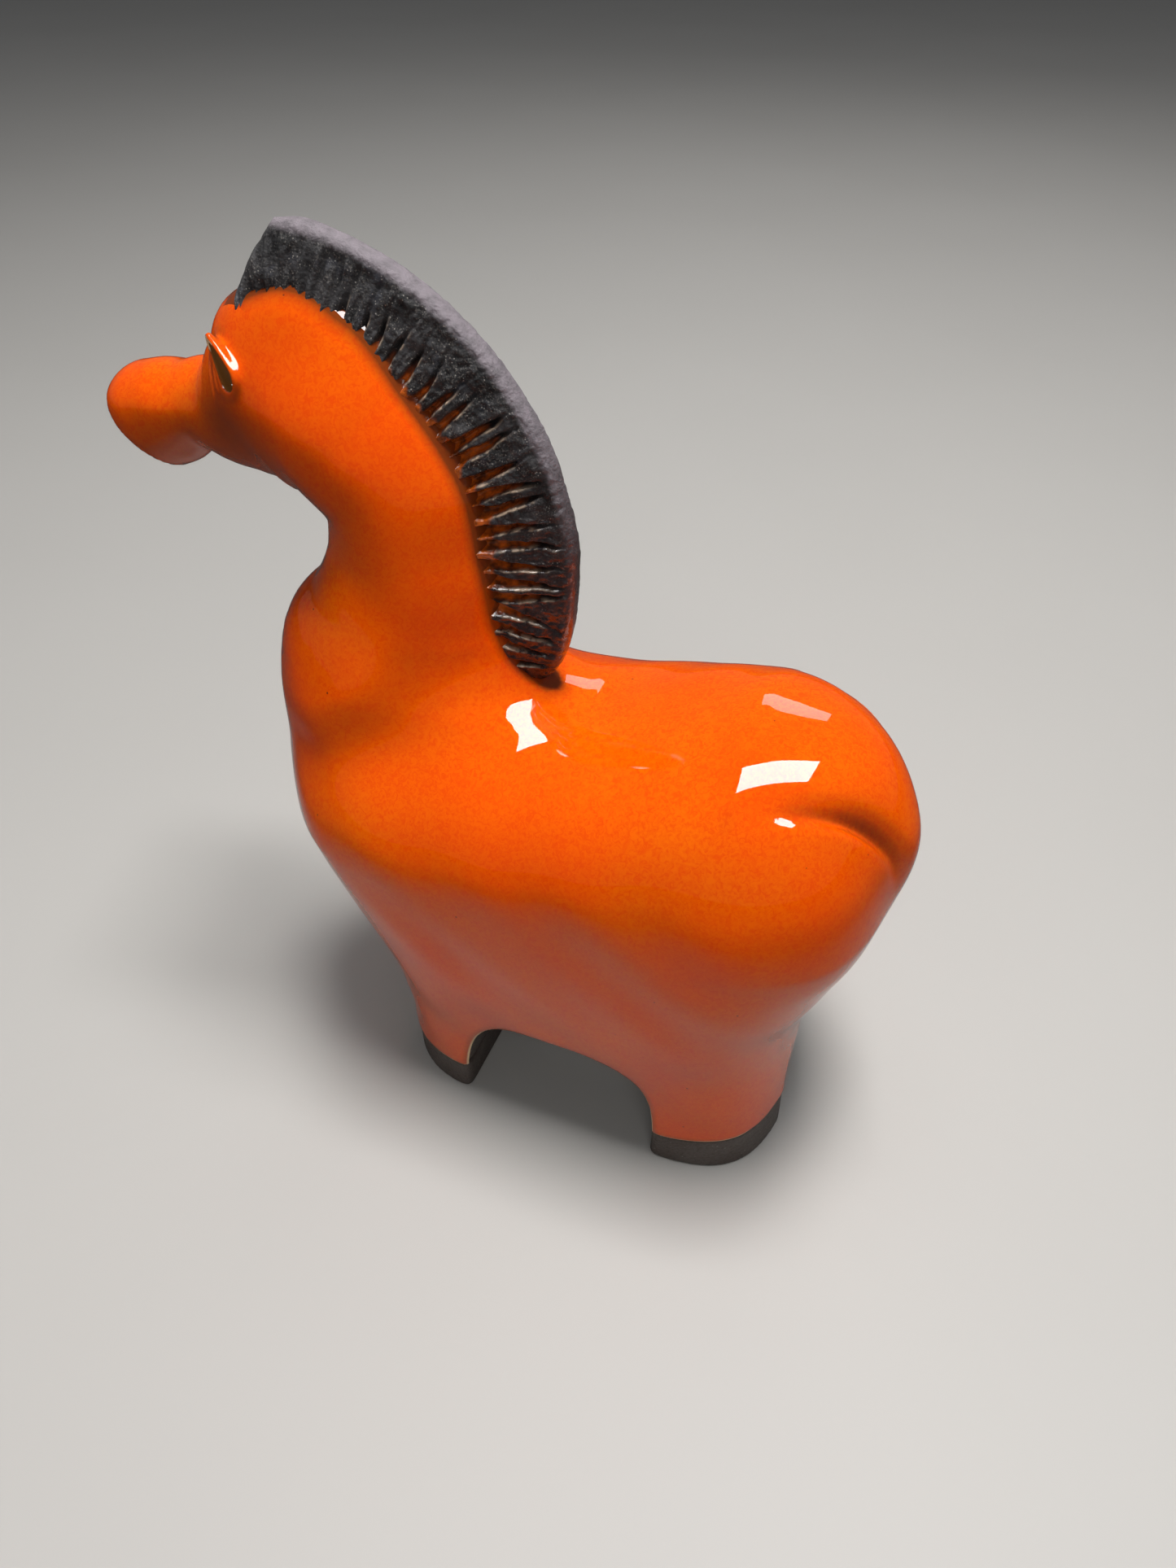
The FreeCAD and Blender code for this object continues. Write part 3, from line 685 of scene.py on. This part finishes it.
def build_skin(glaze):
    """The glaze coat and, cut from the same surface, the glazed tail."""
    low = FIGURE_LOW
    outer, arches = horse_fields(low, FIGURE_HIGH, SKIN_STEP)
    x, y, z = grid(low, FIGURE_HIGH, SKIN_STEP)
    tail_patch = tail_extent(x, y, z).astype(np.float32)
    ear_patch = (ear_distance(x, y, z) - EAR.reach).astype(np.float32)
    vertices, faces = smooth_surface(outer, low, SKIN_STEP)
    in_tail = sample(tail_patch, low, SKIN_STEP, vertices)
    off_ear = sample(ear_patch, low, SKIN_STEP, vertices)
    in_coat = np.minimum(np.minimum(glaze_edge(arches, vertices), -in_tail), off_ear)
    patches = (
        ("glaze_skin", "glaze_coat", in_coat, GLAZE_THICKNESS),
        ("tail_lump", "tail", in_tail, TAIL_SHELL),
    )
    for name, node, keep, depth in patches:
        points, patch = clip_faces(vertices, faces, keep)
        normals = field_normals(outer, low, SKIN_STEP, points)
        # painted shade and pooled glaze in creases and along the mane's foot
        pool = cavity(outer, low, SKIN_STEP, points, normals)
        from_mane = np.maximum(mane_gap(points), 0)
        pool = np.maximum(pool, MANE_POOL_AND_SHADE.share * np.exp(-from_mane / MANE_POOL_AND_SHADE.reach))
        edge = glaze_edge(arches, points)
        sink = GLAZE_THICKNESS * LIP_SINK * np.clip(1 - edge / LIP_WIDTH, 0, 1) ** 2
        points = points - normals * sink[:, None]
        make_glaze(
            name, node, points, patch, normals, depth, glaze,
            pool=pool, edge=edge, hollow=np.zeros(len(points)),
        )


def ear_distance(x, y, z):
    """Distance from the middle of the nearer ear."""
    base, along, length, _ = ear_frame()
    middle = base + along * length / 2
    return np.sqrt((x - middle[0]) ** 2 + (-np.abs(y) - middle[1]) ** 2 + (z - middle[2]) ** 2)


def build_ear(name, side, glaze):
    """One hooded ear with the patch of glaze around it, on a finer grid."""
    base, along, length, _ = ear_frame()
    flip = np.array([1, -side, 1])
    middle = (base + along * length / 2) * flip
    low = middle - EAR.reach - EAR_MARGIN
    high = middle + EAR.reach + EAR_MARGIN
    outer, _ = horse_fields(low, high, EAR_STEP)
    vertices, faces = smooth_surface(outer, low, EAR_STEP)
    keep = EAR.reach - ear_distance(*vertices.T)
    points, patch = clip_faces(vertices, faces, keep)
    normals = field_normals(outer, low, EAR_STEP, points)
    _, hollow, rise = ear_fields(*points.T)
    towards_tip = ramp((points - middle) @ (along * flip), EAR_RIM.start, EAR_RIM.end)
    rim = np.exp(-((rise - EAR_RIM.height) / EAR_RIM.width) ** 2)
    rim = rim * np.clip(EAR_RIM.wall - np.abs(hollow), 0, 1)
    rim = rim * (EAR_RIM.least + (1 - EAR_RIM.least) * towards_tip)
    # painted shade inside the ear's hollow
    inside = np.clip(1 - np.abs(hollow) / EAR_HOLLOW_SHADE_REACH, 0, 1) * (rise < 0)
    # painted shade and pooled glaze in the creases around the ear
    pool = cavity(outer, low, EAR_STEP, points, normals)
    edge = NO_EDGE * (1 - rim)
    make_glaze(
        name, name, points, patch, normals, GLAZE_THICKNESS, glaze,
        pool=pool, edge=edge, hollow=inside,
    )


def build_hoof(name, end, side, clay):
    """One bare hoof: the foot of a leg below the glaze line, flat underneath."""
    across = sorted(side * reach for reach in HOOF_SPACE["out"])
    low, high = zip(HOOF_SPACE[end], across, HOOF_SPACE["up"])
    outer, _ = horse_fields(low, high, HOOF_STEP)
    x, y, z = grid(low, high, HOOF_STEP)
    foot = outer + HOOF_INSET
    foot = blend_cut(foot, z, HOOF_EDGE)
    foot = np.maximum(foot, z - hoof_line(x, y))
    vertices, faces = smooth_surface(foot, low, HOOF_STEP, 2)
    make_piece(name, vertices, faces, clay, name)


def build_casting(clay):
    """The hollow dark clay body under the glaze, bare on the inside of the arches."""
    low = FIGURE_LOW
    outer, _ = horse_fields(low, FIGURE_HIGH, CASTING_STEP)
    x, y, z = grid(low, FIGURE_HIGH, CASTING_STEP)
    clay_surface = outer + GLAZE_THICKNESS
    hollow = np.maximum(clay_surface + CLAY_WALL, HOLLOW_FLOOR - z)
    vent_top = HOLLOW_FLOOR + VENT.into_hollow
    vent = np.maximum(np.hypot(x - VENT.x, y) - VENT.radius, z - vent_top)
    body = np.maximum(clay_surface, -hollow)
    body = blend_cut(body, vent, VENT.edge)
    body = np.maximum(body, hoof_line(x, y) - z)
    vertices, faces = smooth_surface(body, low, CASTING_STEP, 2)
    make_piece("body_clay", vertices, faces, clay, "body_casting")


# ---------------- the mane

def value_noise(points, cell, seed):
    """Smooth noise between -1 and 1 with features about one cell across."""
    lattice = np.random.RandomState(seed).uniform(-1, 1, (32, 32, 32))
    place = points / cell
    corner = np.floor(place).astype(int)
    part = place - corner
    part = part * part * (3 - 2 * part)
    result = 0
    for step in CORNERS:
        weight = np.prod(np.where(step, part, 1 - part), axis=-1)
        spot = (corner + step) % 32
        result = result + weight * lattice[spot[..., 0], spot[..., 1], spot[..., 2]]
    return result


def mane_half_width(radius, angle):
    """Half the mane's thickness: broad root, slimmer crest, swelling towards its lower end."""
    share = (radius - MANE.root) / (MANE.crest - MANE.root)
    half = MANE.root_half + (MANE.crest_half - MANE.root_half) * np.clip(share, -0.5, 1)
    low_down = 1 - ramp(angle, MANE.swell_to, MANE.swell_from)
    return half + MANE.low_swell * low_down * np.clip(1.2 - share, 0, 1)


def mane_grooves(angle, radius, place):
    """The combed grooves: how deep they are at a point, and where their lower lips run."""
    comb = GROOVES
    draw = np.random.RandomState(7)
    depth = np.zeros(angle.shape)
    lips = np.zeros(angle.shape)
    above_root = radius - MANE.root
    for i in range(comb.count):
        share = i / (comb.count - 1)
        middle = comb.first + share * comb.span + draw.uniform(-comb.stray, comb.stray)
        size = 1.0 - comb.front_loss * ramp(share, comb.loss_from, comb.loss_to)
        length = comb.long * draw.uniform(*comb.stray_long) * size
        deep = comb.deep * draw.uniform(*comb.stray_deep) * size
        half_root = comb.root * draw.uniform(*comb.stray_root) * size
        sway = draw.uniform(-comb.sway, comb.sway)
        out = above_root / length
        across = np.radians(angle - middle) * radius - sway * above_root ** 2
        across = across + comb.wobble * value_noise(place, comb.wobble_cell, 20 + i)
        half = half_root + (comb.end - half_root) * np.clip(out, 0, 1) ** comb.flare
        inside = np.clip(1 - np.abs(across / half) ** comb.section, 0, 1)
        fade = 1 - comb.fade * ramp(out, 0.55, 1.15)
        depth = np.maximum(depth, deep * inside * fade)
        lip = np.exp(-((across + half) / comb.lip) ** 2)
        lip = lip * (1 - ramp(out, 0.6, 1.1)) * ramp(out, 0.0, 0.2)
        lips = np.maximum(lips, lip)
    return depth, lips


def mane_gap(points):
    """Distance from points on the neck to the mane's flank, where the mane stands over them."""
    away_x, away_z = points[:, 0] - MANE.x, points[:, 2] - MANE.z
    angle = np.degrees(np.arctan2(away_z, away_x))
    radius = np.hypot(away_x, away_z)
    gap = np.abs(points[:, 1]) - mane_half_width(radius, angle)
    front = MANE.front + MANE_POOL_AND_SHADE.past_front
    beside = np.minimum(angle - MANE.low, front - angle) * MANE_POOL_AND_SHADE.degree
    return np.maximum(gap, -beside) + np.maximum(radius - MANE.crest, 0)


def mane_section():
    """The mane's section, up one flank, over the crest and down: radii, shares of the width."""
    side = np.linspace(0, 1, MANE.side_points)
    crest_turn = np.linspace(0, 1, MANE.crest_points + 1)[1:]
    shoulder = MANE.crest - MANE.crest_round
    power = MANE.crest_power
    over_crest = np.sin(crest_turn * math.pi / 2)
    radii = np.concatenate([
        MANE.buried + (shoulder - MANE.buried) * side,
        shoulder + MANE.crest_round * over_crest,
    ])
    roundness = np.concatenate([
        np.ones(len(side)),
        np.clip(1 - over_crest ** power, 0, 1) ** (1 / power),
    ])
    return np.concatenate([radii, radii[-2::-1]]), np.concatenate([-roundness, roundness[-2::-1]])


def mane_press(place, radius, across, flank, combed, depth):
    """How far the flanks are pressed in: grooves, streaks at the front, unevenness, grain."""
    relief = MANE_RELIEF
    streak_place = np.stack([radius / 9, place[..., 1], across / 6], axis=-1)
    streaks = value_noise(streak_place, 1.3, 3) + 0.6 * value_noise(streak_place, 0.7, 4)
    near_root = 1 - ramp(radius, MANE.root - 2, MANE.root + 9)
    streaked = combed * (relief.streaks + relief.root_streaks * near_root)
    grain = relief.pits * value_noise(place, 1.6, 5) + relief.grain * value_noise(place, 0.8, 6)
    press = depth * flank * (1 - 0.8 * combed)
    press += (relief.faint_streaks + streaked) * streaks * flank
    press += relief.swell * flank * value_noise(place, 4.5, 10)
    press += (1 - 0.6 * combed) * grain
    return press


def closed_tube(vertices):
    """A tube's rings of vertices as one closed mesh, with a fan to a middle point at each end."""
    rings, points, _ = vertices.shape
    number = np.arange(rings * points).reshape(rings, points)
    ahead = np.roll(number, -1, axis=1)
    faces = np.stack([number[:-1], ahead[:-1], ahead[1:], number[1:]], axis=-1).reshape(-1, 4)
    flat = vertices.reshape(-1, 3)
    ends = np.array([vertices[0].mean(axis=0), vertices[-1].mean(axis=0)])
    first = np.full(points, len(flat))
    low_fan = np.stack([ahead[0], number[0], first, first], axis=-1)
    front_fan = np.stack([number[-1], ahead[-1], first + 1, first + 1], axis=-1)
    return np.concatenate([flat, ends]), np.concatenate([faces, low_fan, front_fan])


def build_mane(clay):
    """The mane: a thick arc of clay on the neck, combed crosswise and streaked at the front."""
    around_radius, around_side = mane_section()
    lengthwise = np.linspace(0, 1, MANE.rings)
    shoulder = MANE.crest - MANE.crest_round
    radius = np.tile(around_radius, (len(lengthwise), 1))
    front = MANE.front + (MANE.crest - radius) * MANE.front_slant
    low = MANE.low - (MANE.crest - radius) * MANE.low_slant
    angle = low + lengthwise[:, None] * (front - low)
    across = around_side * mane_half_width(radius, angle)
    flank = np.clip((shoulder + 1 - radius) / 3, 0, 1)
    place = np.stack([radius, np.radians(angle) * MANE_RADIUS, across], axis=-1)
    depth, lips = mane_grooves(angle, radius, place)
    combed = np.clip((angle - MANE.streaks_from) / MANE.streaks_over, 0, 1)
    press = mane_press(place, radius, across, flank, combed, depth)
    across = across - np.sign(across) * np.minimum(press, np.abs(across) * 0.75)
    near_crest = np.clip((radius - 84) / 5, 0, 1)
    radius = radius + MANE_RELIEF.crest * value_noise(place, 8.0, 8) * near_crest
    corner = ramp(radius, MANE.corner_from, MANE.crest)
    corner = corner * ramp(angle, front - MANE.corner_turn, front) ** 2
    radius = radius - MANE.corner_drop * corner
    # the two ends are rounded off, the lower one towards a point inside the clay
    low_gap = (angle - low) / MANE.low_cap
    front_gap = (front - angle) / MANE.front_cap
    front_power = MANE.front_power
    low_scale = np.sqrt(1 - np.clip(1 - low_gap, 0, 1) ** MANE.low_power)
    front_scale = (1 - np.clip(1 - front_gap, 0, 1) ** front_power) ** (1 / front_power)
    middle = np.where(low_gap < 1, MANE.low_middle, radius)
    shrink = np.where(low_gap < 1, np.maximum(low_scale, MANE.least_scale), 1)
    radius = middle + (radius - middle) * shrink
    across = across * np.maximum(low_scale * front_scale, MANE.least_scale)
    turn = np.radians(angle)
    vertices, faces = closed_tube(np.stack([
        MANE.x + radius * np.cos(turn),
        across + MANE.drift * np.sin(turn * 2.0),
        MANE.z + radius * np.sin(turn),
    ], axis=-1))
    root_line = MANE.root + 0.6 + 2.4 * value_noise(place * np.array([0, 1, 0.2]), 2.2, 9)
    amber_reach = MANE.root + 13 - 7 * ramp(angle, 25, 60)
    groove_glaze = np.clip(depth / 1.4 - 0.5, 0, 1) * np.clip((amber_reach - radius) / 5, 0, 1)
    root_glaze = np.clip((root_line - radius) / 1.2, 0, 1)
    on_crest = ramp(radius, shoulder - 0.5, shoulder + 1.5)
    dip_end = MANE.dipped_below
    attributes = {
        "glazed": np.maximum(groove_glaze * (1 - combed), root_glaze),
        "lips": lips * flank * (1 - combed),
        "crest": on_crest * (0.35 + 0.65 * ramp(angle, -5, 35)),
        "dipped": 1 - ramp(angle, dip_end - MANE.dip_over, dip_end),
        "press": np.clip(press / 2.0, 0, 1),
    }
    attributes = {
        key: np.append(values.ravel(), [values.flat[0], values.flat[-1]])
        for key, values in attributes.items()
    }
    make_piece("mane", vertices, faces, clay, "mane_crest", None, attributes)


# ---------------- materials

class Shader:
    """A small helper that adds and wires a material's nodes."""

    def __init__(self, name):
        self.material = bpy.data.materials.new(name)
        self.material.use_nodes = True
        self.tree = self.material.node_tree
        self.tree.nodes.clear()
        self.output = self.add("ShaderNodeOutputMaterial")
        self.surface = self.add("ShaderNodeBsdfPrincipled")
        self.wire(self.surface.outputs["BSDF"], self.output.inputs["Surface"])
        self.place = self.add("ShaderNodeTexCoord").outputs["Object"]

    def add(self, kind, **settings):
        """A new node of that kind with those settings."""
        node = self.tree.nodes.new(kind)
        for key, value in settings.items():
            setattr(node, key, value)
        return node

    def wire(self, source, target):
        self.tree.links.new(source, target)

    def feed(self, value, target):
        """Sets an input to a colour or a number, or wires an output to it."""
        if isinstance(value, bpy.types.NodeSocket):
            self.wire(value, target)
        elif isinstance(value, tuple) and len(value) == 3:
            target.default_value = (*value, 1.0)
        else:
            target.default_value = value

    def noise(self, size_mm, detail=3.0, distortion=0.0):
        """Noise with features about that many millimetres across, from 0 to 1."""
        texture = self.add("ShaderNodeTexNoise")
        texture.inputs["Scale"].default_value = 1 / (size_mm * METRE)
        texture.inputs["Detail"].default_value = detail
        texture.inputs["Distortion"].default_value = distortion
        self.wire(self.place, texture.inputs["Vector"])
        return texture.outputs["Fac"]

    def specks(self, size_mm, share):
        """1 at scattered specks of about that size, else 0."""
        texture = self.add("ShaderNodeTexVoronoi")
        texture.inputs["Scale"].default_value = 1 / (size_mm * METRE)
        self.wire(self.place, texture.inputs["Vector"])
        return self.ramp(texture.outputs["Distance"], share, share * 0.6)

    def ramp(self, value, low, high, to_low=0.0, to_high=1.0):
        """A straight ramp that turns low..high into to_low..to_high, clamped."""
        node = self.add("ShaderNodeMapRange")
        limits = {"From Min": low, "From Max": high, "To Min": to_low, "To Max": to_high}
        for key, number in limits.items():
            node.inputs[key].default_value = number
        self.wire(value, node.inputs["Value"])
        return node.outputs["Result"]

    def math(self, operation, a, b=0.0):
        node = self.add("ShaderNodeMath", operation=operation)
        self.feed(a, node.inputs[0])
        self.feed(b, node.inputs[1])
        return node.outputs["Value"]

    def times(self, a, b):
        return self.math("MULTIPLY", a, b)

    def mix(self, share, a, b):
        """Colour a turning into colour b."""
        node = self.add("ShaderNodeMix", data_type="RGBA")
        self.feed(share, node.inputs["Factor"])
        self.feed(a, node.inputs["A"])
        self.feed(b, node.inputs["B"])
        return node.outputs["Result"]

    def distance(self, point):
        """Distance from a point in millimetres, with both folded onto the positive axes."""
        folded = self.add("ShaderNodeVectorMath", operation="ABSOLUTE")
        self.wire(self.place, folded.inputs[0])
        apart = self.add("ShaderNodeVectorMath", operation="DISTANCE")
        self.wire(folded.outputs["Vector"], apart.inputs[0])
        apart.inputs[1].default_value = [abs(value) * METRE for value in point]
        return self.times(apart.outputs["Value"], 1 / METRE)

    def attribute(self, name):
        """A number that the mesh carries at each of its points."""
        return self.add("ShaderNodeAttribute", attribute_name=name).outputs["Fac"]

    def bump(self, height, distance_mm, strength=1.0, under=None):
        """Fine relief of that height, on top of another one if given."""
        node = self.add("ShaderNodeBump")
        node.inputs["Strength"].default_value = strength
        node.inputs["Distance"].default_value = distance_mm * METRE
        self.wire(height, node.inputs["Height"])
        if under is not None:
            self.wire(under, node.inputs["Normal"])
        return node.outputs["Normal"]

    def finish(self, color, roughness, normal, **others):
        """Feeds the surface its inputs and hands over the material."""
        self.feed(color, self.surface.inputs["Base Color"])
        self.feed(roughness, self.surface.inputs["Roughness"])
        self.wire(normal, self.surface.inputs["Normal"])
        for key, value in others.items():
            self.feed(value, self.surface.inputs[key.replace("_", " ")])
        return self.material


def glaze_material():
    """Vivid orange glaze: mottled, with painted shade below, on the cheeks, in creases and in the
    ears' hollows, browner where it pools, breaking cream along its edges.
    """
    s = Shader("orange_glaze")
    blotch = s.ramp(s.noise(42, 2), 0.35, 0.68)
    fibre = s.ramp(s.noise(1.7, 4, 1.6), 0.40, 0.66)
    color = s.mix(blotch, ORANGE_LIT, ORANGE_DEEP)
    color = s.mix(s.times(fibre, 0.62), color, ORANGE_RED)
    # painted shade: the glaze turns brown where its surface faces downwards
    normal_z = s.add("ShaderNodeSeparateXYZ")
    s.wire(s.add("ShaderNodeNewGeometry").outputs["Normal"], normal_z.inputs[0])
    under = s.ramp(normal_z.outputs["Z"], 0.30, -0.40, 0.0, 0.80)
    color = s.mix(under, color, UNDERSIDE_SHADE_BROWN)
    # painted shade on both cheeks
    cheek_shade = s.ramp(s.distance(CHEEK_SHADE.place), CHEEK_SHADE.reach, CHEEK_SHADE.core, 0.0, 0.8)
    color = s.mix(cheek_shade, color, UNDERSIDE_SHADE_BROWN)
    # painted shade and pooled glaze in creases and along the mane's foot
    pooled = s.ramp(s.attribute("pool"), 0.22, 0.75)
    color = s.mix(s.times(pooled, 0.85), color, POOL_AND_SHADE_OLIVE)
    # painted shade inside the ears' hollows
    color = s.mix(s.attribute("hollow"), color, HOLLOW_SHADE_OLIVE)
    edge = s.attribute("edge")
    color = s.mix(s.ramp(edge, 3.0, 0.9, 0.0, 0.6), color, EDGE_BROWN)
    color = s.mix(s.ramp(edge, 1.1, 0.4, 0.0, 0.9), color, EDGE_CREAM)
    pits = s.times(s.specks(9.0, 0.045), s.ramp(s.noise(14, 1), 0.5, 0.52))
    color = s.mix(s.times(pits, 0.8), color, PIT_BROWN)
    waves = s.bump(s.noise(9, 2), 0.22, 0.35)
    peel = s.bump(s.noise(2.2, 3), 0.03, 0.5, waves)
    pitted = s.bump(pits, -0.15, 0.8, peel)
    return s.finish(
        color, s.ramp(fibre, 0, 1, 0.30, 0.40), pitted,
        Specular_IOR_Level=0.0, Coat_Weight=1.0, Coat_Roughness=0.015, Coat_IOR=1.45,
    )


def hoof_material():
    """Bare fired clay: matt dark grey-brown with a fine grain and pale grit."""
    s = Shader("dark_clay")
    color = s.mix(s.ramp(s.noise(16, 3), 0.3, 0.7), CLAY_BROWN, CLAY_GREY)
    color = s.mix(s.ramp(s.noise(1.1, 4), 0.45, 0.75, 0.0, 0.5), color, CLAY_DARK)
    grit = s.times(s.specks(1.7, 0.22), s.ramp(s.noise(5, 2), 0.5, 0.6))
    color = s.mix(s.times(grit, 0.5), color, CLAY_GRIT)
    grain = s.bump(s.noise(1.1, 4), 0.45, 0.9)
    dents = s.bump(s.noise(7, 2), 0.8, 0.4, grain)
    return s.finish(color, s.ramp(s.noise(4, 2), 0.3, 0.7, 0.72, 0.9), dents)


def mane_material():
    """Charcoal clay with pale crystals, amber glaze in the grooves, painted shade deep in them,
    pale lips with painted highlight, wet brown at the foot.
    """
    s = Shader("mane_clay")
    color = s.mix(s.ramp(s.noise(8, 3), 0.35, 0.7), MANE_BLACK, MANE_CHARCOAL)
    color = s.mix(s.ramp(s.noise(6, 2), 0.58, 0.78, 0.0, 0.45), color, MANE_BLOOM)
    frost_grain = s.ramp(s.noise(0.55, 3), 0.52, 0.72)
    frost = s.times(frost_grain, s.ramp(s.noise(5, 3), 0.38, 0.62, 0.15, 1.0))
    color = s.mix(s.times(frost, 0.30), color, MANE_CRYSTAL)
    crystals = s.times(s.specks(0.9, 0.26), s.ramp(s.noise(3.0, 2), 0.50, 0.60))
    color = s.mix(s.times(crystals, 0.6), color, MANE_CRYSTAL)
    crest = s.times(s.attribute("crest"), s.ramp(s.noise(3, 4), 0.25, 0.6, 0.45, 1.0))
    color = s.mix(crest, color, MANE_CREST)
    # painted shade: the mane turns near black where its flanks are pressed deep, mostly in the
    # grooves
    color = s.mix(s.ramp(s.attribute("press"), 0.35, 1.0, 0.0, 0.8), color, MANE_GROOVE_SHADE)
    dipped = s.times(s.attribute("dipped"), s.ramp(s.noise(5, 2), 0.3, 0.6, 0.5, 1.0))
    color = s.mix(s.times(dipped, 0.85), color, MANE_DIPPED)
    glazed = s.attribute("glazed")
    amber = s.mix(s.ramp(s.noise(3.0, 3), 0.38, 0.62), AMBER, AMBER_DARK)
    color = s.mix(glazed, color, amber)
    # pale glaze breaking on the grooves' lips, with painted highlight on the ridges' upper edges
    lips = s.times(s.attribute("lips"), s.ramp(s.noise(2.6, 2), 0.40, 0.58))
    color = s.mix(lips, color, MANE_LIP_CREAM_AND_HIGHLIGHT)
    wet = s.math("MAXIMUM", glazed, s.times(dipped, 0.9))
    rough = s.ramp(wet, 0, 1, 0.78, 0.16)
    grain = s.bump(s.noise(0.8, 4), 0.45, 0.8)
    return s.finish(color, rough, grain, Coat_Weight=wet, Coat_Roughness=0.05)


def floor_material():
    """A plain pale matt floor, very slightly uneven in tone."""
    s = Shader("pale_floor")
    color = s.mix(s.noise(300, 2), FLOOR_PALE, FLOOR_SHADE)
    # painted reflection: where the glaze mirrors the floor, the floor turns dark away from the
    # horse
    away = s.ramp(s.distance((0, 0, 0)), REFLECTED_FLOOR.near, REFLECTED_FLOOR.far)
    mirrored = s.add("ShaderNodeLightPath").outputs["Is Glossy Ray"]
    color = s.mix(s.times(away, mirrored), color, REFLECTED_FLOOR.shade)
    return s.finish(color, 0.6, s.bump(s.noise(4, 2), 0.05, 0.1))


# ---------------- stage

def build_floor():
    """A plain square floor under the hooves, which isn't part of the object."""
    mesh = bpy.data.meshes.new("floor")
    signs = ((-1, -1), (1, -1), (1, 1), (-1, 1))
    corners = [(a * FLOOR_REACH, b * FLOOR_REACH, 0) for a, b in signs]
    mesh.from_pydata(corners, [], [(0, 1, 2, 3)])
    mesh.materials.append(floor_material())
    floor = bpy.data.objects.new("floor", mesh)
    bpy.context.scene.collection.objects.link(floor)


def build_light(name, place, width, length, power, reflected, lighting):
    """A rectangular soft light at a place, turned towards the horse."""
    data = bpy.data.lights.new(name, "AREA")
    data.shape = "RECTANGLE"
    data.size, data.size_y, data.energy = width, length, power
    light = bpy.data.objects.new(name, data)
    light.location = place
    direction = Vector(LIGHT_AIM) - Vector(place)
    light.rotation_euler = direction.to_track_quat("-Z", "Y").to_euler()
    light.visible_glossy = reflected
    light.visible_diffuse = lighting
    bpy.context.scene.collection.objects.link(light)


def build_world():
    """A faint even sky, so that shadows aren't black."""
    world = bpy.data.worlds.new("studio")
    world.use_nodes = True
    background = world.node_tree.nodes["Background"]
    background.inputs["Color"].default_value = (*SKY, 1.0)
    background.inputs["Strength"].default_value = SKY_STRENGTH
    bpy.context.scene.world = world


def build_camera():
    """The camera stands high on the left, behind the shoulder, and looks down at the figure."""
    data = bpy.data.cameras.new("camera")
    data.lens = CAMERA.lens
    data.sensor_width = 36.0
    data.clip_start = 0.01
    camera = bpy.data.objects.new("camera", data)
    camera.location = [value * METRE for value in CAMERA.place]
    camera.rotation_euler = [math.radians(value) for value in CAMERA.turn]
    bpy.context.scene.collection.objects.link(camera)
    bpy.context.scene.camera = camera


def main():
    """Builds every piece around the frame, then the stage."""
    glaze = glaze_material()
    clay = hoof_material()
    build_skin(glaze)
    for name, side in (("ear_left", -1), ("ear_right", 1)):
        build_ear(name, side, glaze)
    for end in ("front", "rear"):
        for side_name, side in (("left", -1), ("right", 1)):
            build_hoof(f"hoof_{end}_{side_name}", end, side, clay)
    build_casting(clay)
    build_mane(mane_material())
    build_floor()
    for light in LIGHTS:
        build_light(*light)
    build_world()
    build_camera()
    bpy.context.scene.view_settings.view_transform = "Standard"


main()
